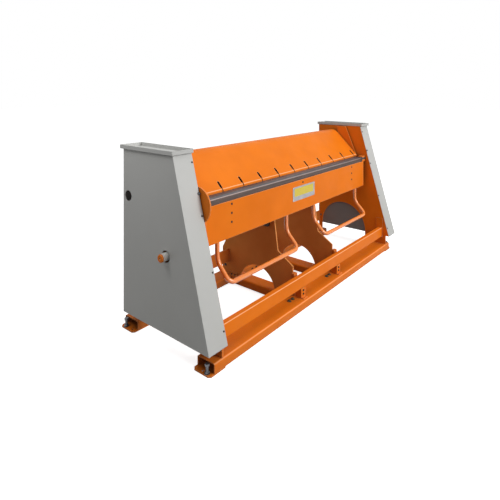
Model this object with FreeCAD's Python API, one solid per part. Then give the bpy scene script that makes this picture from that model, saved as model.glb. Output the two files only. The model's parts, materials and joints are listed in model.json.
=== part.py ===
"""Manual sheet metal bending machine, two metre class, closed and at rest.

X runs along the bending line, -Y is the operator's side and +Z is up. The origin lies on the floor,
midway between the four anchor holes. Lengths are in millimetres. Every piece is a separate solid, and
each group of pieces that belongs together has its own function and STEP file.
"""
import FreeCAD, Part
import math
import os

V = FreeCAD.Vector

# Overall layout, from the middle of the machine outwards
BLADE_HALF = 1018.0        # half the bending length
FOLD_MARGIN = 2.0          # from a blade's end to the folding beam's end plate
CLAMP_MARGIN = 36.0        # from a blade's end to the clamping beam's end
BAY_MARGIN = 31.0          # from the clamping beam's end to the side plate
SIDE_T = 10.0              # side plate thickness
HOUSING_W = 130.0          # from a side plate's outer face to the outside of its cover
COVER_BACK = 325.0         # rear face of the covers
COVER_TOP = 1125.0         # top edge of the covers, under the lid trays
COVER_BOTTOM = 135.0       # lower edge of the covers
COVER_FRONT_TOP = -125.0   # front edge of a cover at its top
COVER_FRONT_BOTTOM = -405.0
SHEET_T = 2.0              # cover and guard sheet thickness
FIT = 0.05                 # radial clearance of a running fit
GAP = 0.4                  # gap between faces that nearly touch
SEAT = 0.3                 # gap between curved faces of different pieces

# Base frame
BASE_TOP = 60.0
BASE_WIDTH = 128.0
CROSS_WIDTH = 115.0
BASE_WALL = 6.0
BASE_OVERHANG = 60.0       # from a side plate's outer face to the base channels' end
CHANNEL_R = 10.0           # outside radius of the channels' bends
FRONT_BASE_Y = -376.0      # front face of the front base channel
REAR_BASE_Y = 405.0        # rear face of the rear base channel
CROSS_X = 245.0            # middle of a cross member
FOOT_T = 8.0
FOOT_OVERHANG = 36.0
FOOT_LENGTH = 120.0
FOOT_CHAMFER = 14.0
FOOT_BOLT_INSET = 16.0     # levelling bolt, from the end of the foot plate
ANCHOR_INSET = 19.0        # anchor hole, from the end of the foot plate
ANCHOR_Y = 306.0
ANCHOR_R = 7.0
LEVEL_BOLT_R = 8.0
LEVEL_FRONT_Y = -342.0
LEVEL_REAR_Y = 368.0
LEVEL_NUT_R = 13.0
LEVEL_NUT_H = 12.0

# Side plates and ribs
ARCH_Y = 57.0
ARCH_R = 230.0
ARCH_Z = 146.0
GUARD_LAP = 8.0            # from the arch's edge to the guard sheet's rim
LEG_FRONT_Y = -372.0       # front of the side plate's foot, below the cover
RIB_X = 275.0              # middle of a centre rib's plate
RIB_T = 10.0
RIB_TOP = 600.0
RIB_FRONT_TOP_Y = -109.0
RIB_KNEE_Y = -145.0
RIB_KNEE_Z = 342.0
RIB_TOE_Y = -273.0
RIB_TOE_Z = 262.0
RIB_REAR_Y = 385.0
RIB_REAR_Z = 252.0
RIB_REAR_TOP_Y = 188.0
RIB_ARCH_Y = 42.0
RIB_ARCH_Z = 26.0
RIB_ARCH_R = 165.0
ANGLE_T = 5.0              # foot angles of the ribs
ANGLE_LENGTH = 64.0
ANGLE_SETBACK = 24.0       # from the rib's toe, and from its arch, to an angle
STRETCHER_Z0 = 152.0
STRETCHER_Z1 = 250.0
STRETCHER_T = 10.0

# Fixed table with the lower blade
AXIS_Y = -165.0            # folding axis, which is also the bending line
AXIS_Z = 832.0
TABLE_FRONT_Y = -120.0
TABLE_BACK_Y = 20.0
TABLE_WALL = 10.0
LOWER_BLADE_T = 12.0
LOWER_BLADE_DEPTH = 80.0

# Folding beam
FOLD_PLATE_T = 8.0
FOLD_BLADE_T = 12.0        # from the folding axis to the front face of the beam
FOLD_BLADE_H = 26.0
FOLD_BLADE_SETBACK = 3.0   # the blade's front behind the plate's front
FOLD_PLATE_H = 226.0
END_PLATE_T = 22.0
END_PLATE_BACK_Y = -130.0
LUG_BACK = 28.0            # the square lug and hub, from the folding axis to their back and underside
LUG_TOP = 22.0             # and to their top
COLLAR_R = 30.0
PIN_R = 15.0
PIN_FLANGE_R = 36.0
PIN_FLANGE_T = 8.0
DISC_R = 105.0
DISC_T = 8.0
DISC_GAP = 5.0             # from the disc to the side plate
STIFF_Z0 = 690.0
STIFF_Z1 = 798.0
STIFF_DEPTH = 28.0
STIFF_WALL = 6.0
PLATE_BOLT_INSET = 220.0   # from the plate's end
PLATE_BOLT_TOP = 47.0      # highest plate bolt, below the folding axis
PLATE_BOLT_PITCH = 55.0
PLATE_BOLT_R = 7.0
PLATE_BOLT_H = 2.5

# Handles
TUBE_R = 14.0
HANDLE_INSET = 115.0       # from the beam's end to a handle's outer leg
HANDLE_IN_X = 187.0
HANDLE_TOP = 655.0
HANDLE_BEND_Z = 462.0
HANDLE_Y = -257.0
HANDLE_Z = 358.0
HANDLE_BEND_R = 110.0
HANDLE_CORNER_R = 42.0

# Clamping beam
CLAMP_LIP_Y = -104.0
CLAMP_CORNER_Z = 858.0
CLAMP_TOP_Z = 1085.0
CLAMP_TOP_R = 90.0
CLAMP_BACK_Z = 930.0
CLAMP_SKIN_T = 6.0
CLAMP_LIP_R = 16.0
BEND_ROOM = 3.0            # corner relief of the plates that sit inside the lip's bend
CLAMP_WALL = 10.0
CLAMP_RIB_W = 60.0
CLAMP_PIVOT_Y = 275.0
CLAMP_PIVOT_Z = 845.0
SHAFT_R = 20.0
SHAFT_BUSH_R = 26.0
UPPER_BLADE_T = 13.0
UPPER_BLADE_BACK_Y = -35.0
BEVEL_DEG = 38.0
NOSE_SETBACK = 2.0         # from the bending line to the nose of the upper blade
SLOT_COUNT = 11
SLOT_END = 18.0            # from the outermost slot to the blade's end
SLOT_LIP_W = 8.0
SLOT_W = 18.0
SLOT_LOW_Z = 876.0         # lowest centre of the wide part, above the bend
SLOT_TOP_Z = 896.0
BLADE_BOLT_Y = -72.0

# Guide plates beside the clamping beam
GUIDE_T = 8.0
GUIDE_GAP = 8.0            # from the clamping beam's end to the guide plate
GUIDE_Z0 = 863.0
GUIDE_FRONT_Y = -89.0
GUIDE_REAR_Y = 62.0
GUIDE_TOP_FRONT_Y = 16.0
GUIDE_TOP_REAR_Y = 110.0
GUIDE_TOP_GAP = 6.0        # below the covers' top edge
SPACER_R = 12.0
SPACER_INSET = 30.0

# Treadle
BAR_FRONT_Y = -340.0
BAR_DEPTH = 38.0
BAR_Z0 = 126.0
BAR_H = 82.0
BAR_WALL = 4.0
BAR_CORNER_R = 6.0
TREADLE_Y = 302.0
TREADLE_Z = 210.0
TREADLE_PIN_R = 10.0
TREADLE_DEG = 7.0
ARM_T = 10.0
ARM_W = 56.0
ARM_GAP = 8.0              # from the side plate to the levers behind it
LEVER_R = 40.0             # round end of the clamp lever at its shaft
ROD_Y = -25.0
ROD_R = 10.0
ROD_EYE_R = 22.0
ROD_EYE_T = 20.0
ROD_PIN_R = 10.0
ROD_OPEN_CLEARANCE = 0.5   # lower rod eye, the pivot that stays loose
SPRING_R = 24.0
SPRING_H = 126.0
SPRING_Z = 230.0

# Stop posts
POST_X = 250.0
POST_W = 50.0
POST_DEPTH = 48.0
POST_T = 5.0
POST_FLANGE = 18.0
POST_BOLT_Z = 26.0         # lower bolt, above the base
POST_BOLT_PITCH = 24.0
BUFFER_H = 6.0

# Rest stop with its scale sleeve, on the left cover
STOP_Y = -70.0
STOP_Z = 563.0
STOP_SHAFT_R = 12.0
SLEEVE_R = 23.0
SLEEVE_OUT = 30.0
SLEEVE_INSET = 40.0        # from the side plate to the sleeve's inner end
KNOB_R = 22.0
KNOB_T = 12.0
COVER_LOW_HOLE_R = 33.0
COVER_HIGH_HOLE_R = 31.0
FINGER_R = 22.0
FINGER_TIP_R = 9.0

# Lid trays
LID_OVERHANG = 15.0
LID_RIM = 23.0

FOLD_HALF = BLADE_HALF + FOLD_MARGIN
CLAMP_HALF = BLADE_HALF + CLAMP_MARGIN
BAY_HALF = CLAMP_HALF + BAY_MARGIN     # inner face of a side plate
SIDE_OUT = BAY_HALF + SIDE_T
COVER_OUT = SIDE_OUT + HOUSING_W
BASE_END = SIDE_OUT + BASE_OVERHANG
FOOT_END = BASE_END + FOOT_OVERHANG
SLOT_PITCH = 2 * (BLADE_HALF - SLOT_END) / (SLOT_COUNT - 1)
ANGLE_LEG = CROSS_X + CROSS_WIDTH / 2 - RIB_X - RIB_T / 2
BEAM_FRONT = AXIS_Y - FOLD_BLADE_T
PLATE_BACK = BEAM_FRONT + FOLD_PLATE_T
ARM_X = SIDE_OUT + ARM_GAP
ROD_X = ARM_X + ARM_T + GAP + ROD_EYE_T / 2


def box(x0, x1, y0, y1, z0, z1):
    """Return a box between two corners."""
    return Part.makeBox(x1 - x0, y1 - y0, z1 - z0, V(x0, y0, z0))


def rod_x(x0, x1, y, z, r):
    """Return a cylinder along X."""
    return Part.makeCylinder(r, x1 - x0, V(x0, y, z), V(1, 0, 0))


def rod_y(x, y0, y1, z, r):
    """Return a cylinder along Y."""
    return Part.makeCylinder(r, y1 - y0, V(x, y0, z), V(0, 1, 0))


def rod_z(x, y, z0, z1, r):
    """Return a cylinder along Z."""
    return Part.makeCylinder(r, z1 - z0, V(x, y, z0), V(0, 0, 1))


def hex_z(x, y, z0, z1, r):
    """Return a hexagonal bolt head or nut along Z, with r to its corners."""
    points = [V(x + r * math.cos(math.radians(a)), y + r * math.sin(math.radians(a)), z0) for a in range(0, 361, 60)]
    return Part.Face(Part.makePolygon(points)).extrude(V(0, 0, z1 - z0))


def hex_head(point, outward, r, height):
    """Return a hexagonal screw head on a point of a face, with r to its corners."""
    head = hex_z(0, 0, 0, height, r)
    head.Placement = FreeCAD.Placement(point, FreeCAD.Rotation(V(0, 0, 1), outward))
    return head


def turned(shape, point, axis, degrees):
    """Return a copy of a shape turned about an axis through a point."""
    copy = shape.copy()
    copy.rotate(point, axis, degrees)
    return copy


def plate(points, x0, thickness):
    """Return a plate across X from its outline in Y and Z."""
    outline = [V(x0, y, z) for y, z in points]
    return Part.Face(Part.makePolygon(outline + outline[:1])).extrude(V(thickness, 0, 0))


def mirrored(shape):
    """Return the shape's mirror image on the other side of the machine."""
    return shape.mirror(V(0, 0, 0), V(1, 0, 0))


def both_sides(shape):
    """Return a right-hand piece with its mirrored left-hand twin."""
    return [shape, mirrored(shape)]


def path_edges(corners, radii):
    """Return lines and tangent arcs through 3D corners, rounded by one radius at each inner corner."""
    edges = []
    start = corners[0]
    for corner, after, radius in zip(corners[1:-1], corners[2:], radii):
        before = (start - corner).normalize()
        onward = (after - corner).normalize()
        half = before.getAngle(onward) / 2
        if radius > 0 and math.pi / 2 - half > 1e-6:
            reach = radius / math.tan(half)
            first = corner + before * reach
            last = corner + onward * reach
            middle = corner + (before + onward).normalize() * (radius / math.sin(half) - radius)
            if (first - start).Length > 1e-6:
                edges.append(Part.LineSegment(start, first).toShape())
            edges.append(Part.Arc(first, middle, last).toShape())
            start = last
        else:
            edges.append(Part.LineSegment(start, corner).toShape())
            start = corner
    edges.append(Part.LineSegment(start, corners[-1]).toShape())
    return edges


def folded_sheet(corners, radii, thickness, x0, x1):
    """Return a bent sheet whose outer face follows the corners in Y and Z, thickness to the right of travel."""
    lines = []
    for (y0, z0), (y1, z1) in zip(corners, corners[1:]):
        length = math.hypot(y1 - y0, z1 - z0)
        normal = ((z1 - z0) / length * thickness, -(y1 - y0) / length * thickness)
        lines.append(((y0 + normal[0], z0 + normal[1]), (y1 + normal[0], z1 + normal[1])))
    inner = [lines[0][0]]
    inner_radii = []
    for (a, b), (c, d), radius in zip(lines, lines[1:], radii):
        r = (b[0] - a[0], b[1] - a[1])
        s = (d[0] - c[0], d[1] - c[1])
        cross = r[0] * s[1] - r[1] * s[0]
        t = ((c[0] - a[0]) * s[1] - (c[1] - a[1]) * s[0]) / cross
        inner.append((a[0] + t * r[0], a[1] + t * r[1]))
        inner_radii.append(radius - thickness if cross < 0 else radius + thickness)
    inner.append(lines[-1][1])
    outer_points = [V(x0, y, z) for y, z in corners]
    inner_points = [V(x0, y, z) for y, z in inner]
    edges = path_edges(outer_points, radii)
    edges.append(Part.LineSegment(outer_points[-1], inner_points[-1]).toShape())
    edges += path_edges(inner_points[::-1], inner_radii[::-1])
    edges.append(Part.LineSegment(inner_points[0], outer_points[0]).toShape())
    wire = Part.Wire(Part.__sortEdges__(edges))
    return Part.Face(wire).extrude(V(x1 - x0, 0, 0))


def bent_tube(corners, radii, r):
    """Return a round bar bent along a path of 3D corners."""
    pieces = []
    for edge in path_edges(corners, radii):
        start, end = edge.Vertexes[0].Point, edge.Vertexes[-1].Point
        if isinstance(edge.Curve, Part.Line):
            pieces.append(Part.makeCylinder(r, (end - start).Length, start, end - start))
            continue
        start = edge.valueAt(edge.FirstParameter)
        heading = edge.tangentAt(edge.FirstParameter)
        disc = Part.Face(Part.Wire(Part.makeCircle(r, start, heading)))
        sweep = math.degrees(edge.LastParameter - edge.FirstParameter)
        pieces.append(disc.revolve(edge.Curve.Center, edge.Curve.Axis, sweep))
    return pieces[0].multiFuse(pieces[1:]).removeSplitter()


def front_edge(z, setback=0.0):
    """Return Y of the covers' sloping front edge at height z, set back by a distance along Y."""
    slope = (COVER_FRONT_BOTTOM - COVER_FRONT_TOP) / (COVER_BOTTOM - COVER_TOP)
    return COVER_FRONT_TOP + (z - COVER_TOP) * slope + setback


def export(name, *shapes):
    """Write one sub-part, a solid or a group of separate solids, to its STEP file."""
    solids = [solid for shape in shapes for solid in shape.Solids]
    shape = solids[0] if len(solids) == 1 else Part.makeCompound(solids)
    shape.exportStep("parts/" + name + ".step")


def export_pair(name, shape):
    """Write a right-hand piece and its mirrored left-hand twin."""
    export(name + "_right", shape)
    export(name + "_left", mirrored(shape))


def channel(y0, y1, x0, x1):
    """Return an inverted U channel of bent plate along X, open at both ends."""
    corners = [(y0, FOOT_T), (y0, BASE_TOP), (y1, BASE_TOP), (y1, FOOT_T)]
    return folded_sheet(corners, [CHANNEL_R, CHANNEL_R], BASE_WALL, x0, x1)


def cross_member():
    """Return the right-hand inverted U channel between the two base channels."""
    along = channel(-CROSS_WIDTH / 2, CROSS_WIDTH / 2, FRONT_BASE_Y + BASE_WIDTH, REAR_BASE_Y - BASE_WIDTH)
    across = turned(along, V(0, 0, 0), V(0, 0, 1), 90)
    across.translate(V(CROSS_X, 0, 0))
    return across


def foot_plate(front):
    """Return the right-hand foot plate under one base channel, with its bolt hole and anchor hole."""
    y0 = FRONT_BASE_Y if front else REAR_BASE_Y - BASE_WIDTH
    y1 = y0 + BASE_WIDTH
    x1 = FOOT_END
    x0 = x1 - FOOT_LENGTH
    outline = [(x0, y0), (x1 - FOOT_CHAMFER, y0), (x1, y0 + FOOT_CHAMFER),
               (x1, y1 - FOOT_CHAMFER), (x1 - FOOT_CHAMFER, y1), (x0, y1)]
    points = [V(x, y, 0) for x, y in outline]
    solid = Part.Face(Part.makePolygon(points + points[:1])).extrude(V(0, 0, FOOT_T))
    side = -1 if front else 1
    solid = solid.cut(rod_z(x1 - ANCHOR_INSET, side * ANCHOR_Y, 0, FOOT_T, ANCHOR_R))
    bolt_y = LEVEL_FRONT_Y if front else LEVEL_REAR_Y
    return solid.cut(rod_z(x1 - FOOT_BOLT_INSET, bolt_y, 0, FOOT_T, LEVEL_BOLT_R + FIT))


def level_bolt(front):
    """Return a levelling bolt with its lock nut and head, and the nut under the head."""
    x = FOOT_END - FOOT_BOLT_INSET
    y = LEVEL_FRONT_Y if front else LEVEL_REAR_Y
    shank = rod_z(x, y, GAP, BASE_TOP - LEVEL_NUT_H, LEVEL_BOLT_R)
    nut = hex_z(x, y, FOOT_T, FOOT_T + LEVEL_NUT_H, LEVEL_NUT_R)
    head = hex_z(x, y, BASE_TOP - LEVEL_NUT_H - 2 * GAP, BASE_TOP - 2 * GAP, LEVEL_NUT_R)
    return shank.multiFuse([nut, head])


def side_plate():
    """Return the right-hand side plate with its arch, bearings and treadle slot."""
    setback = SHEET_T + GAP
    foot_z = COVER_BOTTOM + setback
    solid = plate([(COVER_BACK - setback, BASE_TOP), (COVER_BACK - setback, COVER_TOP - GAP),
                   (front_edge(COVER_TOP - GAP, setback), COVER_TOP - GAP), (front_edge(foot_z, setback), foot_z),
                   (LEG_FRONT_Y, foot_z), (LEG_FRONT_Y, BASE_TOP)], BAY_HALF, SIDE_T)
    arch = rod_x(BAY_HALF, SIDE_OUT, ARCH_Y, ARCH_Z, ARCH_R)
    opening = box(BAY_HALF, SIDE_OUT, ARCH_Y - ARCH_R, ARCH_Y + ARCH_R, BASE_TOP, ARCH_Z)
    holes = [rod_x(BAY_HALF, SIDE_OUT, AXIS_Y, AXIS_Z, PIN_R),
             rod_x(BAY_HALF, SIDE_OUT, CLAMP_PIVOT_Y, CLAMP_PIVOT_Z, SHAFT_BUSH_R),
             rod_x(BAY_HALF, SIDE_OUT, TREADLE_Y, TREADLE_Z, TREADLE_PIN_R),
             rod_x(BAY_HALF, SIDE_OUT, STOP_Y, STOP_Z, STOP_SHAFT_R + FIT),
             treadle_slot()]
    return solid.cut(arch.fuse(opening)).cut(holes[0].multiFuse(holes[1:]))


def bar_end(degrees):
    """Return the outline of the treadle bar's section, as a solid through the side plate, at one angle."""
    section = box(BAY_HALF, SIDE_OUT, BAR_FRONT_Y, BAR_FRONT_Y + BAR_DEPTH, BAR_Z0, BAR_Z0 + BAR_H)
    return turned(section, V(0, TREADLE_Y, TREADLE_Z), V(-1, 0, 0), degrees)


def treadle_slot():
    """Return the slot that the treadle bar travels in, a straight band with room round its whole travel."""
    room = 5.0
    low, high = bar_end(0).BoundBox, bar_end(TREADLE_DEG).BoundBox
    return plate([(low.YMin - room, low.ZMin - room), (low.YMax + room, low.ZMin - room),
                  (high.YMax + room, high.ZMin - room), (high.YMax + room, high.ZMax + room),
                  (high.YMin - room, high.ZMax + room), (low.YMin - room, low.ZMax)], BAY_HALF, SIDE_T)


def arch_guard():
    """Return the sheet that closes the side plate's arch from inside the housing."""
    r = ARCH_R + GUARD_LAP
    outer = rod_x(SIDE_OUT, SIDE_OUT + SHEET_T, ARCH_Y, ARCH_Z, r)
    above = box(SIDE_OUT, SIDE_OUT + SHEET_T, ARCH_Y - r, ARCH_Y + r, COVER_BOTTOM, COVER_TOP)
    return outer.common(above)


def centre_rib():
    """Return the right-hand rib that carries the table from the base."""
    x0 = RIB_X - RIB_T / 2
    solid = plate([(RIB_FRONT_TOP_Y, RIB_TOP), (RIB_KNEE_Y, RIB_KNEE_Z), (RIB_TOE_Y, RIB_TOE_Z),
                   (RIB_TOE_Y, BASE_TOP), (RIB_REAR_Y, BASE_TOP), (RIB_REAR_Y, RIB_REAR_Z),
                   (RIB_REAR_TOP_Y, RIB_TOP)], x0, RIB_T)
    return solid.cut(rod_x(x0, x0 + RIB_T, RIB_ARCH_Y, RIB_ARCH_Z, RIB_ARCH_R))


def rib_foot_angles():
    """Return the four short angles that hold the ribs' feet down."""
    x0 = RIB_X + RIB_T / 2
    x1 = x0 + ANGLE_LEG
    solids = []
    for y0 in (RIB_TOE_Y + ANGLE_SETBACK, RIB_ARCH_Y + RIB_ARCH_R + ANGLE_SETBACK):
        upright = box(x0, x0 + ANGLE_T, y0, y0 + ANGLE_LENGTH, BASE_TOP, BASE_TOP + ANGLE_LEG)
        foot = box(x0, x1, y0, y0 + ANGLE_LENGTH, BASE_TOP, BASE_TOP + ANGLE_T)
        solids += both_sides(upright.fuse(foot))
    return solids


def rib_foot_bolts():
    """Return the hexagonal bolts of the rib foot angles."""
    x = RIB_X + RIB_T / 2 + (ANGLE_T + ANGLE_LEG) / 2
    z = BASE_TOP + ANGLE_T
    solids = []
    for y0 in (RIB_TOE_Y + ANGLE_SETBACK, RIB_ARCH_Y + RIB_ARCH_R + ANGLE_SETBACK):
        for share in (0.25, 0.75):
            solids += both_sides(hex_z(x, y0 + share * ANGLE_LENGTH, z, z + 5, 6.5))
    return solids


def rear_stretcher():
    """Return the three lengths of the rear stretcher, between the side plates and the ribs."""
    y1 = COVER_BACK - SHEET_T - GAP
    y0 = y1 - STRETCHER_T
    edge = RIB_X + RIB_T / 2
    middle = box(-RIB_X + RIB_T / 2, RIB_X - RIB_T / 2, y0, y1, STRETCHER_Z0, STRETCHER_Z1)
    right = box(edge, BAY_HALF, y0, y1, STRETCHER_Z0, STRETCHER_Z1)
    return [mirrored(right), middle, right]


def lower_beam():
    """Return the hollow table beam between the side plates, relieved at its ends for the folding disc."""
    top = AXIS_Z - LOWER_BLADE_T
    outer = plate([(TABLE_FRONT_Y, RIB_TOP), (TABLE_FRONT_Y, top), (TABLE_BACK_Y, top),
                   (TABLE_BACK_Y, RIB_TOP)], -BAY_HALF, 2 * BAY_HALF)
    w = TABLE_WALL
    inner = plate([(TABLE_FRONT_Y + w, RIB_TOP + w), (TABLE_FRONT_Y + w, top - w), (TABLE_BACK_Y - w, top - w),
                   (TABLE_BACK_Y - w, RIB_TOP + w)], -BAY_HALF, 2 * BAY_HALF)
    relief_x = CLAMP_HALF
    relief = rod_x(relief_x, BAY_HALF, AXIS_Y, AXIS_Z, DISC_R + DISC_GAP)
    return outer.cut(inner).cut(relief.fuse(mirrored(relief)))


def lower_blade():
    """Return the steel bar whose front edge is the bending line, undercut so that the beam can swing."""
    top = AXIS_Z
    z0 = AXIS_Z - LOWER_BLADE_T
    y0 = AXIS_Y + SEAT
    return plate([(y0, top), (y0 + LOWER_BLADE_DEPTH, top), (y0 + LOWER_BLADE_DEPTH, z0),
                  (TABLE_FRONT_Y - 12, z0), (y0, top - 7)], -BLADE_HALF, 2 * BLADE_HALF)


def lower_blade_bolts():
    """Return the countersunk bolts that hold the lower blade down from under the table top."""
    z1 = AXIS_Z - LOWER_BLADE_T - TABLE_WALL
    y = TABLE_FRONT_Y + 22.0
    return [hex_z(k * SLOT_PITCH, y, z1 - 7, z1, 8) for k in range(-5, 6)]


def folding_pin():
    """Return the folding pin with its flange, fixed in the right-hand side plate from the housing side."""
    pin = rod_x(FOLD_HALF, SIDE_OUT, AXIS_Y, AXIS_Z, PIN_R)
    flange = rod_x(SIDE_OUT, SIDE_OUT + PIN_FLANGE_T, AXIS_Y, AXIS_Z, PIN_FLANGE_R)
    return pin.fuse(flange)


def folding_plate():
    """Return the front plate of the folding beam."""
    top = AXIS_Z - FOLD_BLADE_H
    return box(-FOLD_HALF, FOLD_HALF, BEAM_FRONT, PLATE_BACK, top - FOLD_PLATE_H, top)


def plate_bolts():
    """Return the heads of the seven bolts in the folding plate."""
    z = AXIS_Z - PLATE_BOLT_TOP
    x = FOLD_HALF - PLATE_BOLT_INSET
    places = [(side * x, z - k * PLATE_BOLT_PITCH) for side in (-1, 1) for k in range(3)]
    return [rod_y(x, BEAM_FRONT - PLATE_BOLT_H, BEAM_FRONT, z, PLATE_BOLT_R) for x, z in places + [(0.0, z)]]


def folding_blade():
    """Return the steel working edge along the top of the folding beam."""
    z1 = AXIS_Z - SEAT
    z0 = AXIS_Z - FOLD_BLADE_H
    return box(-FOLD_HALF, FOLD_HALF, BEAM_FRONT + FOLD_BLADE_SETBACK, AXIS_Y - SEAT, z0, z1)


def folding_stiffener():
    """Return the channel welded behind the folding plate, open to the plate."""
    y1 = PLATE_BACK + STIFF_DEPTH
    outer = box(-FOLD_HALF, FOLD_HALF, PLATE_BACK, y1, STIFF_Z0, STIFF_Z1)
    inner = box(-FOLD_HALF, FOLD_HALF, PLATE_BACK, y1 - STIFF_WALL, STIFF_Z0 + STIFF_WALL, STIFF_Z1 - STIFF_WALL)
    return outer.cut(inner)


def lug_block(x0, x1):
    """Return the square block round the folding axis that the end plate and its hub share."""
    return box(x0, x1, BEAM_FRONT, AXIS_Y + LUG_BACK, AXIS_Z - LUG_BACK, AXIS_Z + LUG_TOP)


def folding_end_plate():
    """Return the right-hand end plate of the folding beam, with its lug round the folding axis."""
    x1 = FOLD_HALF + END_PLATE_T
    z0 = AXIS_Z - FOLD_BLADE_H - FOLD_PLATE_H
    body = box(FOLD_HALF, x1, BEAM_FRONT, END_PLATE_BACK_Y, z0, AXIS_Z - LUG_BACK)
    bore = rod_x(FOLD_HALF, x1, AXIS_Y, AXIS_Z, PIN_R + FIT)
    return body.fuse(lug_block(FOLD_HALF, x1)).cut(bore).removeSplitter()


def folding_hub():
    """Return the right-hand hub welded on the end plate, with its bore for the folding pin."""
    x0 = FOLD_HALF + END_PLATE_T
    x1 = BAY_HALF - DISC_GAP - DISC_T
    return lug_block(x0, x1).cut(rod_x(x0, x1, AXIS_Y, AXIS_Z, PIN_R + FIT))


def angle_disc():
    """Return the left-hand angle disc on the folding hub."""
    x1 = -(BAY_HALF - DISC_GAP - DISC_T)
    return rod_x(x1 - DISC_T, x1, AXIS_Y, AXIS_Z, DISC_R).cut(rod_x(x1 - DISC_T, x1, AXIS_Y, AXIS_Z, PIN_R + FIT))


def handle():
    """Return the right-hand U-shaped tube handle, bent forward below the folding plate."""
    y = PLATE_BACK + TUBE_R
    x1 = FOLD_HALF - HANDLE_INSET
    corners = [V(HANDLE_IN_X, y, HANDLE_TOP), V(HANDLE_IN_X, y, HANDLE_BEND_Z), V(HANDLE_IN_X, HANDLE_Y, HANDLE_Z),
               V(x1, HANDLE_Y, HANDLE_Z), V(x1, y, HANDLE_BEND_Z), V(x1, y, HANDLE_TOP)]
    radii = [HANDLE_BEND_R, HANDLE_CORNER_R, HANDLE_CORNER_R, HANDLE_BEND_R]
    return bent_tube(corners, radii, TUBE_R)


def clamp_top_centre():
    """Return Y and Z of the centre of the clamping beam's rounded top."""
    drop = CLAMP_TOP_R * math.sin(math.radians(45))
    z = CLAMP_TOP_Z - CLAMP_TOP_R
    tangent_z = z + drop
    tangent_y = CLAMP_LIP_Y + tangent_z - CLAMP_CORNER_Z
    return tangent_y + drop, z


def clamp_outline():
    """Return the corners of the clamping beam's skin, from the lip over the top to the back, and their radii."""
    centre_y, centre_z = clamp_top_centre()
    back = centre_y + CLAMP_TOP_R
    lip_z = AXIS_Z + GAP + UPPER_BLADE_T + GAP
    slope_top_y = CLAMP_LIP_Y + CLAMP_TOP_Z - CLAMP_CORNER_Z
    corners = [(CLAMP_LIP_Y, lip_z), (CLAMP_LIP_Y, CLAMP_CORNER_Z), (slope_top_y, CLAMP_TOP_Z),
               (back, CLAMP_TOP_Z), (back, CLAMP_BACK_Z)]
    return corners, [CLAMP_LIP_R, CLAMP_TOP_R, CLAMP_TOP_R]


def clamp_skin():
    """Return the clamping beam's bent skin with its row of oblong slots over the lip."""
    corners, radii = clamp_outline()
    solid = folded_sheet(corners, radii, CLAMP_SKIN_T, -CLAMP_HALF, CLAMP_HALF)
    first = -(SLOT_COUNT - 1) / 2 * SLOT_PITCH
    lip_z = corners[0][1]
    slots = []
    for k in range(SLOT_COUNT):
        x = first + k * SLOT_PITCH
        y0, y1 = CLAMP_LIP_Y - 1, BLADE_BOLT_Y + 30
        neck = box(x - SLOT_LIP_W / 2, x + SLOT_LIP_W / 2, y0, y1, lip_z - 1, SLOT_LOW_Z)
        body = box(x - SLOT_W / 2, x + SLOT_W / 2, y0, y1, SLOT_LOW_Z, SLOT_TOP_Z)
        ends = [rod_y(x, y0, y1, z, SLOT_W / 2) for z in (SLOT_LOW_Z, SLOT_TOP_Z)]
        slots.append(neck.multiFuse([body] + ends))
    return solid.cut(slots[0].multiFuse(slots[1:]))


def clamp_base_plate():
    """Return the flat plate under the skin that carries the upper blade."""
    z0 = AXIS_Z + GAP + UPPER_BLADE_T
    return box(-CLAMP_HALF + CLAMP_WALL, CLAMP_HALF - CLAMP_WALL, CLAMP_LIP_Y + CLAMP_SKIN_T + BEND_ROOM,
               UPPER_BLADE_BACK_Y, z0, z0 + CLAMP_WALL)


def clamp_end_plate():
    """Return the right-hand end plate of the clamping beam, reaching back to its pivot shaft."""
    centre_y, centre_z = clamp_top_centre()
    t = CLAMP_SKIN_T + GAP
    z0 = AXIS_Z + GAP + UPPER_BLADE_T
    front = CLAMP_LIP_Y + t
    x0 = CLAMP_HALF - CLAMP_WALL
    slope_z = CLAMP_CORNER_Z + t * (1 - math.sqrt(2))
    top_y = centre_y - (CLAMP_TOP_R - t) * math.sin(math.radians(45))
    top_z = centre_z + (CLAMP_TOP_R - t) * math.sin(math.radians(45))
    body = plate([(front, z0), (front, slope_z - BEND_ROOM), (front + BEND_ROOM, slope_z + BEND_ROOM),
                  (top_y, top_z), (centre_y, centre_z),
                  (CLAMP_PIVOT_Y, CLAMP_PIVOT_Z + 2 * COLLAR_R), (CLAMP_PIVOT_Y, z0 - COLLAR_R),
                  (UPPER_BLADE_BACK_Y + 20, z0)], x0, CLAMP_WALL)
    crown = rod_x(x0, CLAMP_HALF, centre_y, centre_z, CLAMP_TOP_R - t)
    boss = rod_x(x0, CLAMP_HALF, CLAMP_PIVOT_Y, CLAMP_PIVOT_Z, 1.5 * COLLAR_R)
    solid = body.multiFuse([crown, boss]).removeSplitter()
    return solid.cut(rod_x(x0, CLAMP_HALF, CLAMP_PIVOT_Y, CLAMP_PIVOT_Z, SHAFT_R))


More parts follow.
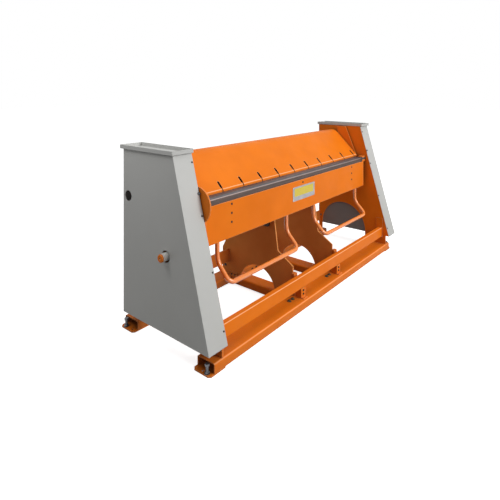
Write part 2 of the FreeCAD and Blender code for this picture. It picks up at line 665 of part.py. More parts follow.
def clamp_ribs():
    """Return the four stiffening plates inside the clamping beam."""
    centre_y, centre_z = clamp_top_centre()
    t = CLAMP_SKIN_T + GAP
    z0 = AXIS_Z + GAP + UPPER_BLADE_T + CLAMP_WALL
    front_y = BLADE_BOLT_Y + 34.0
    slope = 45.0
    solids = []
    for k in (-3, -1, 1, 3):
        x = k * SLOT_PITCH + SLOT_PITCH / 2 * (1 if k < 0 else -1)
        top_y = centre_y - (CLAMP_TOP_R - t) * math.sin(math.radians(slope))
        top_z = centre_z + (CLAMP_TOP_R - t) * math.sin(math.radians(slope))
        front_z = CLAMP_CORNER_Z + (front_y - CLAMP_LIP_Y) - t * math.sqrt(2)
        solids.append(plate([(front_y, z0), (front_y, front_z), (top_y, top_z), (top_y, top_z - CLAMP_RIB_W),
                             (UPPER_BLADE_BACK_Y, z0)], x, CLAMP_WALL))
    return solids


def upper_blade():
    """Return the clamping blade, bevelled at its nose over the bending line."""
    z0 = AXIS_Z + GAP
    z1 = z0 + UPPER_BLADE_T
    nose = AXIS_Y + NOSE_SETBACK
    bevel = (UPPER_BLADE_T - 1) / math.tan(math.radians(BEVEL_DEG))
    return plate([(nose, z0), (nose, z0 + 1), (nose + bevel, z1), (UPPER_BLADE_BACK_Y, z1),
                  (UPPER_BLADE_BACK_Y, z0)], -BLADE_HALF, 2 * BLADE_HALF)


def blade_bolts():
    """Return the blade bolts behind the slots."""
    first = -(SLOT_COUNT - 1) / 2 * SLOT_PITCH
    z0 = AXIS_Z + GAP + UPPER_BLADE_T + CLAMP_WALL
    return [hex_z(first + k * SLOT_PITCH, BLADE_BOLT_Y, z0, z0 + 8, 9) for k in range(SLOT_COUNT)]


def clamp_shaft():
    """Return the right-hand pivot shaft of the clamping beam, with its inner collar."""
    x0 = CLAMP_HALF - CLAMP_WALL
    shaft = rod_x(x0, ARM_X + ARM_T + 24, CLAMP_PIVOT_Y, CLAMP_PIVOT_Z, SHAFT_R)
    collar = rod_x(CLAMP_HALF, BAY_HALF - 3, CLAMP_PIVOT_Y, CLAMP_PIVOT_Z, COLLAR_R)
    return shaft.fuse(collar)


def shaft_bush():
    """Return the right-hand bronze bush of the clamping beam's shaft."""
    outer = rod_x(BAY_HALF, SIDE_OUT, CLAMP_PIVOT_Y, CLAMP_PIVOT_Z, SHAFT_BUSH_R)
    return outer.cut(rod_x(BAY_HALF, SIDE_OUT, CLAMP_PIVOT_Y, CLAMP_PIVOT_Z, SHAFT_R + FIT))


def tapered_lever(y0, z0, r0, y1, z1, r1, x0, thickness):
    """Return a flat lever between two round ends, with straight tangent sides."""
    length = math.hypot(y1 - y0, z1 - z0)
    heading = math.atan2(z1 - z0, y1 - y0)
    spread = math.acos((r0 - r1) / length)
    points = []
    for y, z, r, side in ((y0, z0, r0, 1), (y1, z1, r1, 1), (y1, z1, r1, -1), (y0, z0, r0, -1)):
        angle = heading + side * spread
        points.append((y + r * math.cos(angle), z + r * math.sin(angle)))
    body = plate(points, x0, thickness)
    ends = [rod_x(x0, x0 + thickness, y0, z0, r0), rod_x(x0, x0 + thickness, y1, z1, r1)]
    return body.multiFuse(ends).removeSplitter()


def clamp_lever():
    """Return the right-hand lever in the housing that turns the clamping beam, with its rod pin."""
    lever = tapered_lever(CLAMP_PIVOT_Y, CLAMP_PIVOT_Z, LEVER_R, ROD_Y, CLAMP_PIVOT_Z, ROD_EYE_R + 4, ARM_X, ARM_T)
    lever = lever.cut(rod_x(ARM_X, ARM_X + ARM_T, CLAMP_PIVOT_Y, CLAMP_PIVOT_Z, SHAFT_R))
    pin = rod_x(ARM_X, ROD_X + ROD_EYE_T / 2 + 6, ROD_Y, CLAMP_PIVOT_Z, ROD_PIN_R)
    return lever.fuse(pin)


def rod_foot_z():
    """Return the height of the rod pin on the treadle arm, on the line from its pivot to the bar."""
    bar_y = BAR_FRONT_Y + BAR_DEPTH / 2
    bar_z = BAR_Z0 + BAR_H / 2
    return TREADLE_Z + (bar_z - TREADLE_Z) * (ROD_Y - TREADLE_Y) / (bar_y - TREADLE_Y)


def pull_rod():
    """Return the right-hand pull rod with an eye at each end and two spring collars."""
    x0 = ROD_X - ROD_EYE_T / 2
    x1 = ROD_X + ROD_EYE_T / 2
    low, high = rod_foot_z(), CLAMP_PIVOT_Z
    shank = rod_z(ROD_X, ROD_Y, low + ROD_EYE_R - 4, high - ROD_EYE_R + 4, ROD_R)
    pieces = [rod_x(x0, x1, ROD_Y, low, ROD_EYE_R), rod_x(x0, x1, ROD_Y, high, ROD_EYE_R),
              rod_z(ROD_X, ROD_Y, SPRING_Z - 8, SPRING_Z - GAP, SPRING_R - 4),
              rod_z(ROD_X, ROD_Y, SPRING_Z + SPRING_H + GAP, SPRING_Z + SPRING_H + 8, SPRING_R - 4)]
    solid = shank.multiFuse(pieces)
    solid = solid.cut(rod_x(x0, x1, ROD_Y, high, ROD_PIN_R + FIT))
    return solid.cut(rod_x(x0, x1, ROD_Y, low, ROD_PIN_R + ROD_OPEN_CLEARANCE))


def clamp_spring():
    """Return the right-hand closed stack of disc springs on the pull rod, as one sleeve."""
    sleeve = rod_z(ROD_X, ROD_Y, SPRING_Z, SPRING_Z + SPRING_H, SPRING_R)
    return sleeve.cut(rod_z(ROD_X, ROD_Y, SPRING_Z, SPRING_Z + SPRING_H, ROD_R + SEAT))


def treadle_bar():
    """Return the hollow foot bar across the front, through the slots of both side plates."""
    end = ARM_X
    outer = box(-end, end, BAR_FRONT_Y, BAR_FRONT_Y + BAR_DEPTH, BAR_Z0, BAR_Z0 + BAR_H)
    outer = outer.makeFillet(BAR_CORNER_R, [edge for edge in outer.Edges if edge.BoundBox.XLength > end])
    w = BAR_WALL
    inner = box(-end, end, BAR_FRONT_Y + w, BAR_FRONT_Y + BAR_DEPTH - w, BAR_Z0 + w, BAR_Z0 + BAR_H - w)
    return outer.cut(inner)


def treadle_arm():
    """Return the right-hand treadle arm in the housing, from its pivot pin to the foot bar."""
    bar_y = BAR_FRONT_Y + BAR_DEPTH / 2
    bar_z = BAR_Z0 + BAR_H / 2
    arm = tapered_lever(TREADLE_Y, TREADLE_Z, TREADLE_PIN_R + 8, bar_y, bar_z, BAR_DEPTH / 2, ARM_X, ARM_T)
    web = plate([(BAR_FRONT_Y, BAR_Z0), (BAR_FRONT_Y + BAR_DEPTH, BAR_Z0),
                 (BAR_FRONT_Y + BAR_DEPTH + ARM_W, bar_z), (BAR_FRONT_Y + BAR_DEPTH, BAR_Z0 + BAR_H),
                 (BAR_FRONT_Y, BAR_Z0 + BAR_H)], ARM_X, ARM_T)
    boss = rod_x(ARM_X, ARM_X + ARM_T, ROD_Y, rod_foot_z(), ARM_W / 2)
    pin = rod_x(ARM_X, ROD_X + ROD_EYE_T / 2 + 6, ROD_Y, rod_foot_z(), ROD_PIN_R)
    bore = rod_x(ARM_X, ARM_X + ARM_T, TREADLE_Y, TREADLE_Z, TREADLE_PIN_R + FIT)
    return arm.multiFuse([web, boss, pin]).cut(bore)


def treadle_pin():
    """Return the right-hand treadle pivot pin, fixed in the side plate, with its end washer."""
    pin = rod_x(BAY_HALF, ARM_X + ARM_T + GAP, TREADLE_Y, TREADLE_Z, TREADLE_PIN_R)
    spacer = rod_x(SIDE_OUT, ARM_X - GAP, TREADLE_Y, TREADLE_Z, TREADLE_PIN_R + 4)
    washer = rod_x(ARM_X + ARM_T + GAP, ARM_X + ARM_T + 5, TREADLE_Y, TREADLE_Z, TREADLE_PIN_R + 4)
    return pin.multiFuse([spacer, washer])


def treadle_shield():
    """Return the right-hand thin plate on the foot bar that covers the slot in the side plate."""
    t = 3.0
    x1 = BAY_HALF - 2.0
    high = bar_end(TREADLE_DEG).BoundBox
    solid = box(x1 - t, x1, BAR_FRONT_Y - 8, BAR_FRONT_Y + BAR_DEPTH + 18, BAR_Z0 - 6, high.ZMax + 8)
    hole = box(x1 - t, x1, BAR_FRONT_Y, BAR_FRONT_Y + BAR_DEPTH, BAR_Z0, BAR_Z0 + BAR_H)
    return solid.cut(hole)


def stop_posts():
    """Return the two posts on the front channel that the foot bar comes down on."""
    solids = []
    for side in (-1, 1):
        x0 = side * POST_X - POST_W / 2
        x1 = x0 + POST_W
        top = BAR_Z0 - GAP
        y0, y1 = BAR_FRONT_Y, BAR_FRONT_Y + POST_DEPTH
        shell = box(x0, x1, y0, y1, BASE_TOP, top).cut(box(x0 + POST_T, x1 - POST_T, y0 + POST_T, y1, BASE_TOP, top))
        flange = box(x0, x1, y0 - POST_FLANGE, y0, BASE_TOP, BASE_TOP + POST_T)
        solids.append(shell.fuse(flange))
    return solids


def post_risers():
    """Return the adjustable blocks inside the posts."""
    inset = POST_T + SEAT
    return [box(side * POST_X - POST_W / 2 + inset, side * POST_X + POST_W / 2 - inset,
                BAR_FRONT_Y + inset, BAR_FRONT_Y + POST_DEPTH, BASE_TOP + 14, BAR_Z0 - GAP - BUFFER_H)
            for side in (-1, 1)]


def post_buffers():
    """Return the rubber buffers on the risers, under the foot bar."""
    inset = POST_T + SEAT
    return [box(side * POST_X - POST_W / 2 + inset, side * POST_X + POST_W / 2 - inset,
                BAR_FRONT_Y + inset, BAR_FRONT_Y + POST_DEPTH, BAR_Z0 - GAP - BUFFER_H, BAR_Z0 - GAP)
            for side in (-1, 1)]


def post_bolts():
    """Return the two bolts in the front of each post."""
    solids = []
    for side in (-1, 1):
        for k in range(2):
            z = BASE_TOP + POST_BOLT_Z + k * POST_BOLT_PITCH
            solids.append(hex_head(V(side * POST_X, BAR_FRONT_Y, z), V(0, -1, 0), 7, 4))
    return solids


def guide_plate():
    """Return the right-hand guide plate beside the clamping beam, with the spacers to its side plate."""
    x0 = CLAMP_HALF + GUIDE_GAP
    x1 = x0 + GUIDE_T
    top = COVER_TOP - GUIDE_TOP_GAP
    solid = plate([(GUIDE_FRONT_Y, GUIDE_Z0), (GUIDE_TOP_FRONT_Y, top), (GUIDE_TOP_REAR_Y, top),
                   (GUIDE_REAR_Y, GUIDE_Z0)], x0, GUIDE_T)
    low, high = GUIDE_Z0 + SPACER_INSET, top - SPACER_INSET
    places = [(GUIDE_FRONT_Y + 2 * SPACER_INSET, low), (GUIDE_REAR_Y - SPACER_INSET, low),
              (GUIDE_TOP_FRONT_Y + SPACER_INSET, high), (GUIDE_TOP_REAR_Y - SPACER_INSET, high)]
    spacers = [rod_x(x1, BAY_HALF, y, z, SPACER_R) for y, z in places]
    return solid.multiFuse(spacers)


def side_cover():
    """Return the right-hand cover: outer face, sloping front, back and turned-in top, open towards the plate."""
    t = SHEET_T
    outline = [(COVER_BACK, COVER_BOTTOM), (COVER_BACK, COVER_TOP), (COVER_FRONT_TOP, COVER_TOP),
               (COVER_FRONT_BOTTOM, COVER_BOTTOM)]
    slope = math.atan2(COVER_FRONT_TOP - COVER_FRONT_BOTTOM, COVER_TOP - COVER_BOTTOM)
    inset = t / math.cos(slope)
    hollow = [(COVER_BACK - t, COVER_BOTTOM - 1), (COVER_BACK - t, COVER_TOP - t),
              (front_edge(COVER_TOP - t, inset), COVER_TOP - t), (front_edge(COVER_BOTTOM - 1, inset), COVER_BOTTOM - 1)]
    solid = plate(outline, BAY_HALF, COVER_OUT - BAY_HALF).cut(plate(hollow, BAY_HALF, COVER_OUT - t - BAY_HALF))
    top_room = box(BAY_HALF, SIDE_OUT, front_edge(COVER_TOP - t, inset), COVER_BACK - t, COVER_TOP - t, COVER_TOP)
    solid = solid.cut(top_room)
    holes = [rod_x(COVER_OUT - t, COVER_OUT, CLAMP_PIVOT_Y, CLAMP_PIVOT_Z, COVER_HIGH_HOLE_R),
             rod_x(COVER_OUT - t, COVER_OUT, STOP_Y, STOP_Z, COVER_LOW_HOLE_R)]
    return solid.cut(holes[0].fuse(holes[1]))


def cover_screws():
    """Return the screw heads along the inner edge of the covers' front faces."""
    slope = math.atan2(COVER_FRONT_TOP - COVER_FRONT_BOTTOM, COVER_TOP - COVER_BOTTOM)
    outward = V(0, -math.cos(slope), math.sin(slope))
    solids = []
    count = 4
    margin = 52.0
    x = BAY_HALF + SIDE_T / 2 + 5
    for k in range(count):
        z = COVER_BOTTOM + margin + 20 + k * (COVER_TOP - COVER_BOTTOM - 2 * margin - 20) / (count - 1)
        head = hex_head(V(x, front_edge(z), z), outward, 7, 4)
        solids += [head, mirrored(head)]
    return solids


def lid_tray():
    """Return the right-hand lid: a shallow open tray that laps over the cover."""
    t = SHEET_T
    x0, x1 = BAY_HALF - t, COVER_OUT + LID_OVERHANG
    y0, y1 = COVER_FRONT_TOP - LID_OVERHANG, COVER_BACK + LID_OVERHANG
    z0 = COVER_TOP + GAP
    outer = box(x0, x1, y0, y1, z0, z0 + LID_RIM)
    return outer.cut(box(x0 + t, x1 - t, y0 + t, y1 - t, z0 + t, z0 + LID_RIM))


def stop_shaft():
    """Return the left-hand rest-stop shaft with the finger that the folding beam's end plate rests on."""
    y = END_PLATE_BACK_Y - STOP_Y
    z = AXIS_Z - FOLD_BLADE_H - FOLD_PLATE_H - STOP_Z
    reach = math.hypot(y, z) - FINGER_TIP_R - GAP
    tip_y = STOP_Y + y / math.hypot(y, z) * reach
    tip_z = STOP_Z + z / math.hypot(y, z) * reach
    shaft = rod_x(FOLD_HALF, COVER_OUT + SLEEVE_OUT, STOP_Y, STOP_Z, STOP_SHAFT_R)
    finger = tapered_lever(STOP_Y, STOP_Z, FINGER_R, tip_y, tip_z, FINGER_TIP_R, FOLD_HALF, END_PLATE_T)
    return mirrored(shaft.fuse(finger))


def scale_sleeve():
    """Return the left-hand scale sleeve on the rest-stop shaft."""
    x0, x1 = SIDE_OUT + SLEEVE_INSET, COVER_OUT + SLEEVE_OUT
    sleeve = rod_x(x0, x1, STOP_Y, STOP_Z, SLEEVE_R).cut(rod_x(x0, x1, STOP_Y, STOP_Z, STOP_SHAFT_R))
    return mirrored(sleeve)


def stop_knob():
    """Return the left-hand end knob of the rest stop, with a chamfered rim."""
    x0 = COVER_OUT + SLEEVE_OUT
    knob = rod_x(x0, x0 + KNOB_T, STOP_Y, STOP_Z, KNOB_R)
    rim = [e for e in knob.Edges if e.BoundBox.XLength < 1e-6 and e.BoundBox.XMin > x0 + 1]
    return mirrored(knob.makeChamfer(3.0, rim))


def main():
    """Build every sub-part and write its STEP file."""
    os.makedirs("parts", exist_ok=True)
    export("front_base_channel", channel(FRONT_BASE_Y, FRONT_BASE_Y + BASE_WIDTH, -BASE_END, BASE_END))
    export("rear_base_channel", channel(REAR_BASE_Y - BASE_WIDTH, REAR_BASE_Y, -BASE_END, BASE_END))
    export("cross_members", *both_sides(cross_member()))
    feet = [foot_plate(front) for front in (True, False)]
    export("foot_plates", *(feet + [mirrored(foot) for foot in feet]))
    bolts = [level_bolt(front) for front in (True, False)]
    export("levelling_bolts", *(bolts + [mirrored(bolt) for bolt in bolts]))
    export_pair("side_plate", side_plate())
    export("arch_guards", *both_sides(arch_guard()))
    export("centre_ribs", *both_sides(centre_rib()))
    export("rib_foot_angles", *rib_foot_angles())
    export("rib_foot_bolts", *rib_foot_bolts())
    export("rear_stretcher", *rear_stretcher())
    export("lower_beam", lower_beam())
    export("lower_blade", lower_blade())
    export("lower_blade_bolts", *lower_blade_bolts())
    export("guide_plates", *both_sides(guide_plate()))
    export("folding_pins", *both_sides(folding_pin()))
    export("shaft_bushes", *both_sides(shaft_bush()))
    export("treadle_pins", *both_sides(treadle_pin()))
    export("stop_posts", *stop_posts())
    export("post_risers", *post_risers())
    export("post_buffers", *post_buffers())
    export("post_bolts", *post_bolts())
    export_pair("side_cover", side_cover())
    export_pair("lid_tray", lid_tray())
    export("cover_screws", *cover_screws())
    export("folding_plate", folding_plate())
    export("folding_blade", folding_blade())
    export("folding_stiffener", folding_stiffener())
    export("plate_bolts", *plate_bolts())
    export_pair("folding_end_plate", folding_end_plate())
    export("folding_hubs", *both_sides(folding_hub()))
    export("angle_disc", angle_disc())
    export_pair("handle", handle())
    export("clamp_skin", clamp_skin())
    export("clamp_base_plate", clamp_base_plate())
    export_pair("clamp_end_plate", clamp_end_plate())
    export("clamp_ribs", *clamp_ribs())
    export("upper_blade", upper_blade())
    export("blade_bolts", *blade_bolts())
    export("clamp_shafts", *both_sides(clamp_shaft()))
    export_pair("clamp_lever", clamp_lever())
    export("pull_rods", *both_sides(pull_rod()))
    export("clamp_springs", *both_sides(clamp_spring()))
    export("treadle_bar", treadle_bar())
    export_pair("treadle_arm", treadle_arm())
    export("treadle_shields", *both_sides(treadle_shield()))
    export("stop_shaft", stop_shaft())
    export("scale_sleeve", scale_sleeve())
    export("stop_knob", stop_knob())


main()
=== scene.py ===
"""Visual model of a manual sheet metal bending machine, two metre class.

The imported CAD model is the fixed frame. This file dresses it with enamel, powder coat and ground steel, and
adds what is fitted once the plates are cut: bolts, weld beads, guide blocks and a blank plate.
Lengths are in metres unless a name ends in _mm. X runs to the right, Y to the back and Z up.
"""

import json
import logging
from dataclasses import dataclass, field
from enum import Enum
from math import atan2, cos, pi, radians, sin
from typing import Sequence

import bmesh
import bpy
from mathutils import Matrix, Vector

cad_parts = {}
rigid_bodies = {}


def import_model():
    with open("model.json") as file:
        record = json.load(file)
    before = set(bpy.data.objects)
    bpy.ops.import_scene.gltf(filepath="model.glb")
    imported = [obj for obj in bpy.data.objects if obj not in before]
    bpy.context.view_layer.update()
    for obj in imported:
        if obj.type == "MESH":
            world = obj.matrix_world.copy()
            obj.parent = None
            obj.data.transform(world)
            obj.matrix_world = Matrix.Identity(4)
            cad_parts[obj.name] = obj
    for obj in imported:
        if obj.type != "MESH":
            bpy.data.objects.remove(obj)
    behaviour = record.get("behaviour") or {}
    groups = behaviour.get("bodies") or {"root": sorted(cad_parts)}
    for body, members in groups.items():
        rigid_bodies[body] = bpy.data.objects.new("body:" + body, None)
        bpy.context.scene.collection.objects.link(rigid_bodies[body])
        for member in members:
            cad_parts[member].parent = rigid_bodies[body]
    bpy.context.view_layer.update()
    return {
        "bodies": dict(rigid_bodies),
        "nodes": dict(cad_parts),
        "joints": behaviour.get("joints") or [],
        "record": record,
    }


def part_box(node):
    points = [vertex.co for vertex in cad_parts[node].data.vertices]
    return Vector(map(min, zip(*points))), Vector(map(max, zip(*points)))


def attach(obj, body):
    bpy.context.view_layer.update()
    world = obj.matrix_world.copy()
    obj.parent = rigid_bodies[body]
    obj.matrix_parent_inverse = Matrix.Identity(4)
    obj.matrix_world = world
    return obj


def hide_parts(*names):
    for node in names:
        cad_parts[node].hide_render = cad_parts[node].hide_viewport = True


LOG = logging.getLogger("bending_machine")
Point = tuple[float, float, float]
Box = tuple[Point, Point]
Pair = tuple[float, float]
Colour = tuple[float, float, float, float]
Tree = bpy.types.NodeTree
Node = bpy.types.Node
Socket = bpy.types.NodeSocket
Inputs = dict[str, Socket | float]
UP: Point = (0.0, 0.0, 1.0)
FORWARD: Point = (0.0, -1.0, 0.0)
WHITE: Colour = (1.0, 1.0, 1.0, 1.0)


class Body(Enum):
    """Rigid bodies that pieces ride on."""

    STAND = "stand"
    FOLDING = "folding_beam"
    CLAMPING = "clamping_beam"
    RODS = "pull_rods_pair"
    STOP = "rest_stop"


class Side(Enum):
    """Left and right end of the machine, with the sign of X."""

    LEFT = -1
    RIGHT = 1

    def x(self, reach: float) -> float:
        """Return the X of a place at this distance from the middle."""
        return self.value * reach

    def box(self, near: Point, far: Point) -> Box:
        """Return this side's box between two corners whose X is the distance from the middle."""
        left, right = sorted((self.x(near[0]), self.x(far[0])))
        return (left, *near[1:]), (right, *far[1:])

    def outward(self) -> Point:
        """Return the direction away from the middle."""
        return (float(self.value), 0.0, 0.0)


def linear(hex_colour: str) -> Colour:
    """Return an sRGB hex colour with its leading hash as linear light with full alpha."""
    parts = [int(hex_colour[i:i + 2], 16) / 255 for i in (1, 3, 5)]
    return (*(p / 12.92 if p <= 0.04045 else ((p + 0.055) / 1.055) ** 2.4 for p in parts), 1.0)


def add_node(tree: Tree, kind: str, inputs: dict | None = None, **settings) -> Node:
    """Add one shader node with its settings, values and links.

    Args:
        tree: Material's nodes.
        kind: Blender's name of the node type, after ShaderNode.
        inputs: Value or output socket for each input, by input name or number.
        **settings: Attributes of the node itself.

    Returns:
        The new node.
    """
    node = tree.nodes.new("ShaderNode" + kind)
    for name, value in settings.items():
        setattr(node, name, value)
    for name, value in (inputs or {}).items():
        if isinstance(value, Socket):
            tree.links.new(value, node.inputs[name])
        else:
            node.inputs[name].default_value = value
    return node


def mixed(tree: Tree, share: Socket, first: Socket | Colour, second: Colour) -> Socket:
    """Return the mix of two colours, all of the second at share 1."""
    inputs = {"Factor": share, 6: first, 7: second}
    return add_node(tree, "Mix", inputs, data_type="RGBA").outputs[2]


def ramp(tree: Tree, value: Socket, start: float, end: float, low: float = 0.0, high: float = 1.0) -> Socket:
    """Return the value mapped from start and end onto low and high, and held there."""
    inputs = {"Value": value, "From Min": start, "From Max": end, "To Min": low, "To Max": high}
    return add_node(tree, "MapRange", inputs).outputs[0]


def maths(tree: Tree, operation: str, first: Socket, second: Socket | float = 0.0) -> Socket:
    """Return the result of Blender's operation on one value or two."""
    return add_node(tree, "Math", {0: first, 1: second}, operation=operation).outputs[0]


def noise(tree: Tree, place: Socket, scale: float, detail: float, roughness: float = 0.5) -> Socket:
    """Return a noise round one half, with this many waves per metre and finer octaves."""
    inputs = {"Vector": place, "Scale": scale, "Detail": detail, "Roughness": roughness}
    return add_node(tree, "TexNoise", inputs).outputs["Fac"]


def coordinates(tree: Tree, vector: Socket) -> bpy.types.NodeOutputs:
    """Return a vector's X, Y and Z outputs."""
    return add_node(tree, "SeparateXYZ", {"Vector": vector}).outputs


def relief(tree: Tree, height: Socket, strength: float, depth_mm: float, edge_mm: float = 0.0) -> Socket:
    """Give a surface a fine relief, on edges that are rounded off for the eye.

    Args:
        tree: Material's nodes.
        height: Height of the relief.
        strength: Share of the relief that shows.
        depth_mm: Depth of the relief.
        edge_mm: Radius of the rounded edges, or zero for sharp ones.

    Returns:
        Normal output.
    """
    inputs = {"Strength": strength, "Distance": depth_mm / 1000, "Height": height}
    if edge_mm:
        rim = add_node(tree, "Bevel", {"Radius": edge_mm / 1000}, samples=4)
        inputs["Normal"] = rim.outputs[0]
    return add_node(tree, "Bump", inputs).outputs[0]


@dataclass(frozen=True)
class Finish:
    """A surface finish that can make its own procedural material."""

    name: str
    colour: str
    shade: str
    roughness: float
    metallic: float = 0.0

    def material(self) -> bpy.types.Material:
        """Return the material, made on first use.

        Returns:
            The finish's material.
        """
        found = bpy.data.materials.get(self.name)
        if found:
            return found
        made = bpy.data.materials.new(self.name)
        made.use_nodes = True
        tree = made.node_tree
        tree.nodes.clear()
        place = add_node(tree, "TexCoord").outputs["Object"]
        inputs = {"Metallic": self.metallic, "Roughness": self.roughness, **self.dress(tree, place)}
        shader = add_node(tree, "BsdfPrincipled", inputs)
        add_node(tree, "OutputMaterial", {"Surface": shader.outputs[0]})
        made.diffuse_color = linear(self.colour)
        return made

    def dress(self, tree: Tree, place: Socket) -> Inputs:
        """Return the finish's own colour, roughness and relief for its shader."""
        raise NotImplementedError


@dataclass(frozen=True)
class Enamel(Finish):
    """Sprayed machine enamel: faint mottling, orange peel, painted shade in sheltered places, and paler edges
    that are rubbed wear and painted highlight.
    """

    # Colour of the painted shade in sheltered places.
    painted_shade: str = "#5C4231"
    rubbed_highlight: str = "#FFC795"
    peel_mm: float = 3.0
    edge_mm: float = 4.5
    shade_reach_mm: float = 220.0
    shade_depth: float = 0.6
    gloss_level: float = 0.14

    def rubbed_highlight_band(self, tree: Tree, place: Socket) -> Socket | None:
        """Return a mask of a painted highlight beside the edges, or None."""
        return None

    def shade_and_highlight(self, tree: Tree, place: Socket, tone: Socket) -> Socket:
        """Lay painted shade where the paint is sheltered, and a paler line along its edges that is painted
        highlight and rubbed wear.

        Args:
            tree: Material's nodes.
            place: Coordinates.
            tone: Colour of the paint before the painted shade and highlight.

        Returns:
            Colour output.
        """
        # Painted shade: the colour turns towards the shade colour where ambient occlusion finds parts nearby.
        reach = {"Distance": self.shade_reach_mm / 1000}
        open_air = add_node(tree, "AmbientOcclusion", reach, samples=6).outputs["AO"]
        shaded = mixed(tree, ramp(tree, open_air, 0.2, 0.65, self.shade_depth, 0.0), tone, linear(self.painted_shade))
        # Painted highlight, which also stands for rubbed wear: a pale colour on rounded edges out in the
        # open.
        rim = add_node(tree, "Bevel", {"Radius": self.edge_mm / 1000}, samples=6)
        face = add_node(tree, "NewGeometry").outputs["Normal"]
        bent = add_node(tree, "VectorMath", {0: rim.outputs[0], 1: face}, operation="DOT_PRODUCT")
        mask = maths(tree, "MULTIPLY", ramp(tree, bent.outputs["Value"], 0.985, 0.85, 0.0, 0.75), open_air)
        band = self.rubbed_highlight_band(tree, place)
        if band:
            mask = maths(tree, "MAXIMUM", mask, band)
        return mixed(tree, mask, shaded, linear(self.rubbed_highlight))

    def dress(self, tree: Tree, place: Socket) -> Inputs:
        """Mottle the colour over hand-sized areas and ripple the surface like sprayed paint.

        Args:
            tree: Material's nodes.
            place: Coordinates.

        Returns:
            Shader inputs.
        """
        cloud = ramp(tree, noise(tree, place, 3.5, 3.0, 0.55), 0.35, 0.7)
        tone = mixed(tree, cloud, linear(self.colour), linear(self.shade))
        smear = noise(tree, place, 9.0, 4.0)
        peel = noise(tree, place, 500 / self.peel_mm, 1.0)
        return {"Base Color": self.shade_and_highlight(tree, place, tone), "Specular IOR Level": self.gloss_level,
                "Roughness": ramp(tree, smear, 0.3, 0.75, self.roughness - 0.05, self.roughness + 0.08),
                "Normal": relief(tree, peel, 0.05, 0.6, self.edge_mm)}


@dataclass(frozen=True)
class RubbedHighlightEnamel(Enamel):
    """The enamel of a long part, with a pale painted highlight along one line in X where sheets or shoes also
    rub it.
    """

    line: Pair = (0.0, 0.0)
    line_mm: Pair = (1.0, 3.4)
    strength: float = 0.85

    def rubbed_highlight_band(self, tree: Tree, place: Socket) -> Socket | None:
        """Mask the line through (Y, Z), in full within one radius and not at all beyond the other.

        Args:
            tree: Material's nodes.
            place: Coordinates.

        Returns:
            Value output.
        """
        split = coordinates(tree, place)
        across = add_node(tree, "CombineXYZ", {"Y": split["Y"], "Z": split["Z"]})
        ends = {0: across.outputs[0], 1: (0.0, *self.line)}
        away = add_node(tree, "VectorMath", ends, operation="DISTANCE")
        full, gone = self.line_mm
        # Painted highlight: full within the first radius, gone beyond the second.
        return ramp(tree, away.outputs["Value"], gone / 1000, full / 1000, 0.0, self.strength)


@dataclass(frozen=True)
class SlottedEnamel(RubbedHighlightEnamel):
    """The skin's enamel, with painted shade on the slot walls."""

    slot_shade: str = "#4A2412"
    reach: float = 1.045

    def dress(self, tree: Tree, place: Socket) -> Inputs:
        """Paint the enamel dark brown as painted shade on faces that look along the sheet, short of its ends.

        Args:
            tree: Material's nodes.
            place: Coordinates.

        Returns:
            Shader inputs.
        """
        inputs = super().dress(tree, place)
        normal = add_node(tree, "NewGeometry").outputs["True Normal"]
        along = maths(tree, "ABSOLUTE", coordinates(tree, normal)["X"])
        off = maths(tree, "ABSOLUTE", coordinates(tree, place)["X"])
        faces, inside = maths(tree, "GREATER_THAN", along, 0.3), maths(tree, "LESS_THAN", off, self.reach)
        mask = maths(tree, "MULTIPLY", faces, inside)
        # Painted shade on the slot walls.
        inputs["Base Color"] = mixed(tree, mask, inputs["Base Color"], linear(self.slot_shade))
        return inputs


@dataclass(frozen=True)
class PowderCoat(Finish):
    """Fine-texture powder coat on bent sheet: matt, pebbled and slightly darker towards the floor."""

    grit_mm: float = 1.6

    def dress(self, tree: Tree, place: Socket) -> Inputs:
        """Pebble the surface and let the colour drift a little, greyer towards the floor.

        Args:
            tree: Material's nodes.
            place: Coordinates.

        Returns:
            Shader inputs.
        """
        towards_floor = ramp(tree, coordinates(tree, place)["Z"], 0.1, 0.9, 0.5, 0.0)
        drift = maths(tree, "ADD", noise(tree, place, 2.2, 4.0, 0.6), towards_floor)
        tone = mixed(tree, ramp(tree, drift, 0.4, 1.2), linear(self.colour), linear(self.shade))
        grit = noise(tree, place, 500 / self.grit_mm, 2.0)
        return {"Base Color": tone, "Normal": relief(tree, grit, 0.12, 0.4, 3.0)}


@dataclass(frozen=True)
class GroundSteel(Finish):
    """Ground, turned or plated metal: fine lines along one direction and a few darker stains."""

    line_mm: float = 2.5
    run: Point = (0.004, 1.0, 1.0)
    nose_highlight: str = "#B9A49D"
    nose_highlight_z: Pair | None = None

    def dress(self, tree: Tree, place: Socket) -> Inputs:
        """Draw grinding lines by stretching a noise along the run, and stain it with a soft cloud.

        Args:
            tree: Material's nodes.
            place: Coordinates.

        Returns:
            Shader inputs.
        """
        stretch = add_node(tree, "Mapping", {"Vector": place, "Scale": self.run})
        lines = noise(tree, stretch.outputs[0], 1000 / self.line_mm, 3.0)
        stained = maths(tree, "MULTIPLY", lines, noise(tree, place, 6.0, 5.0, 0.65))
        colour = mixed(tree, ramp(tree, stained, 0.12, 0.45), linear(self.shade), linear(self.colour))
        # Painted highlight: a pale band at the nose's height.
        if self.nose_highlight_z:
            low, high = self.nose_highlight_z
            nose = ramp(tree, coordinates(tree, place)["Z"], high, low)
            colour = mixed(tree, nose, colour, linear(self.nose_highlight))
        gloss = ramp(tree, lines, 0.3, 0.7, self.roughness + 0.12, self.roughness - 0.05)
        return {"Base Color": colour, "Roughness": gloss, "Normal": relief(tree, lines, 0.12, 0.2, 0.8)}


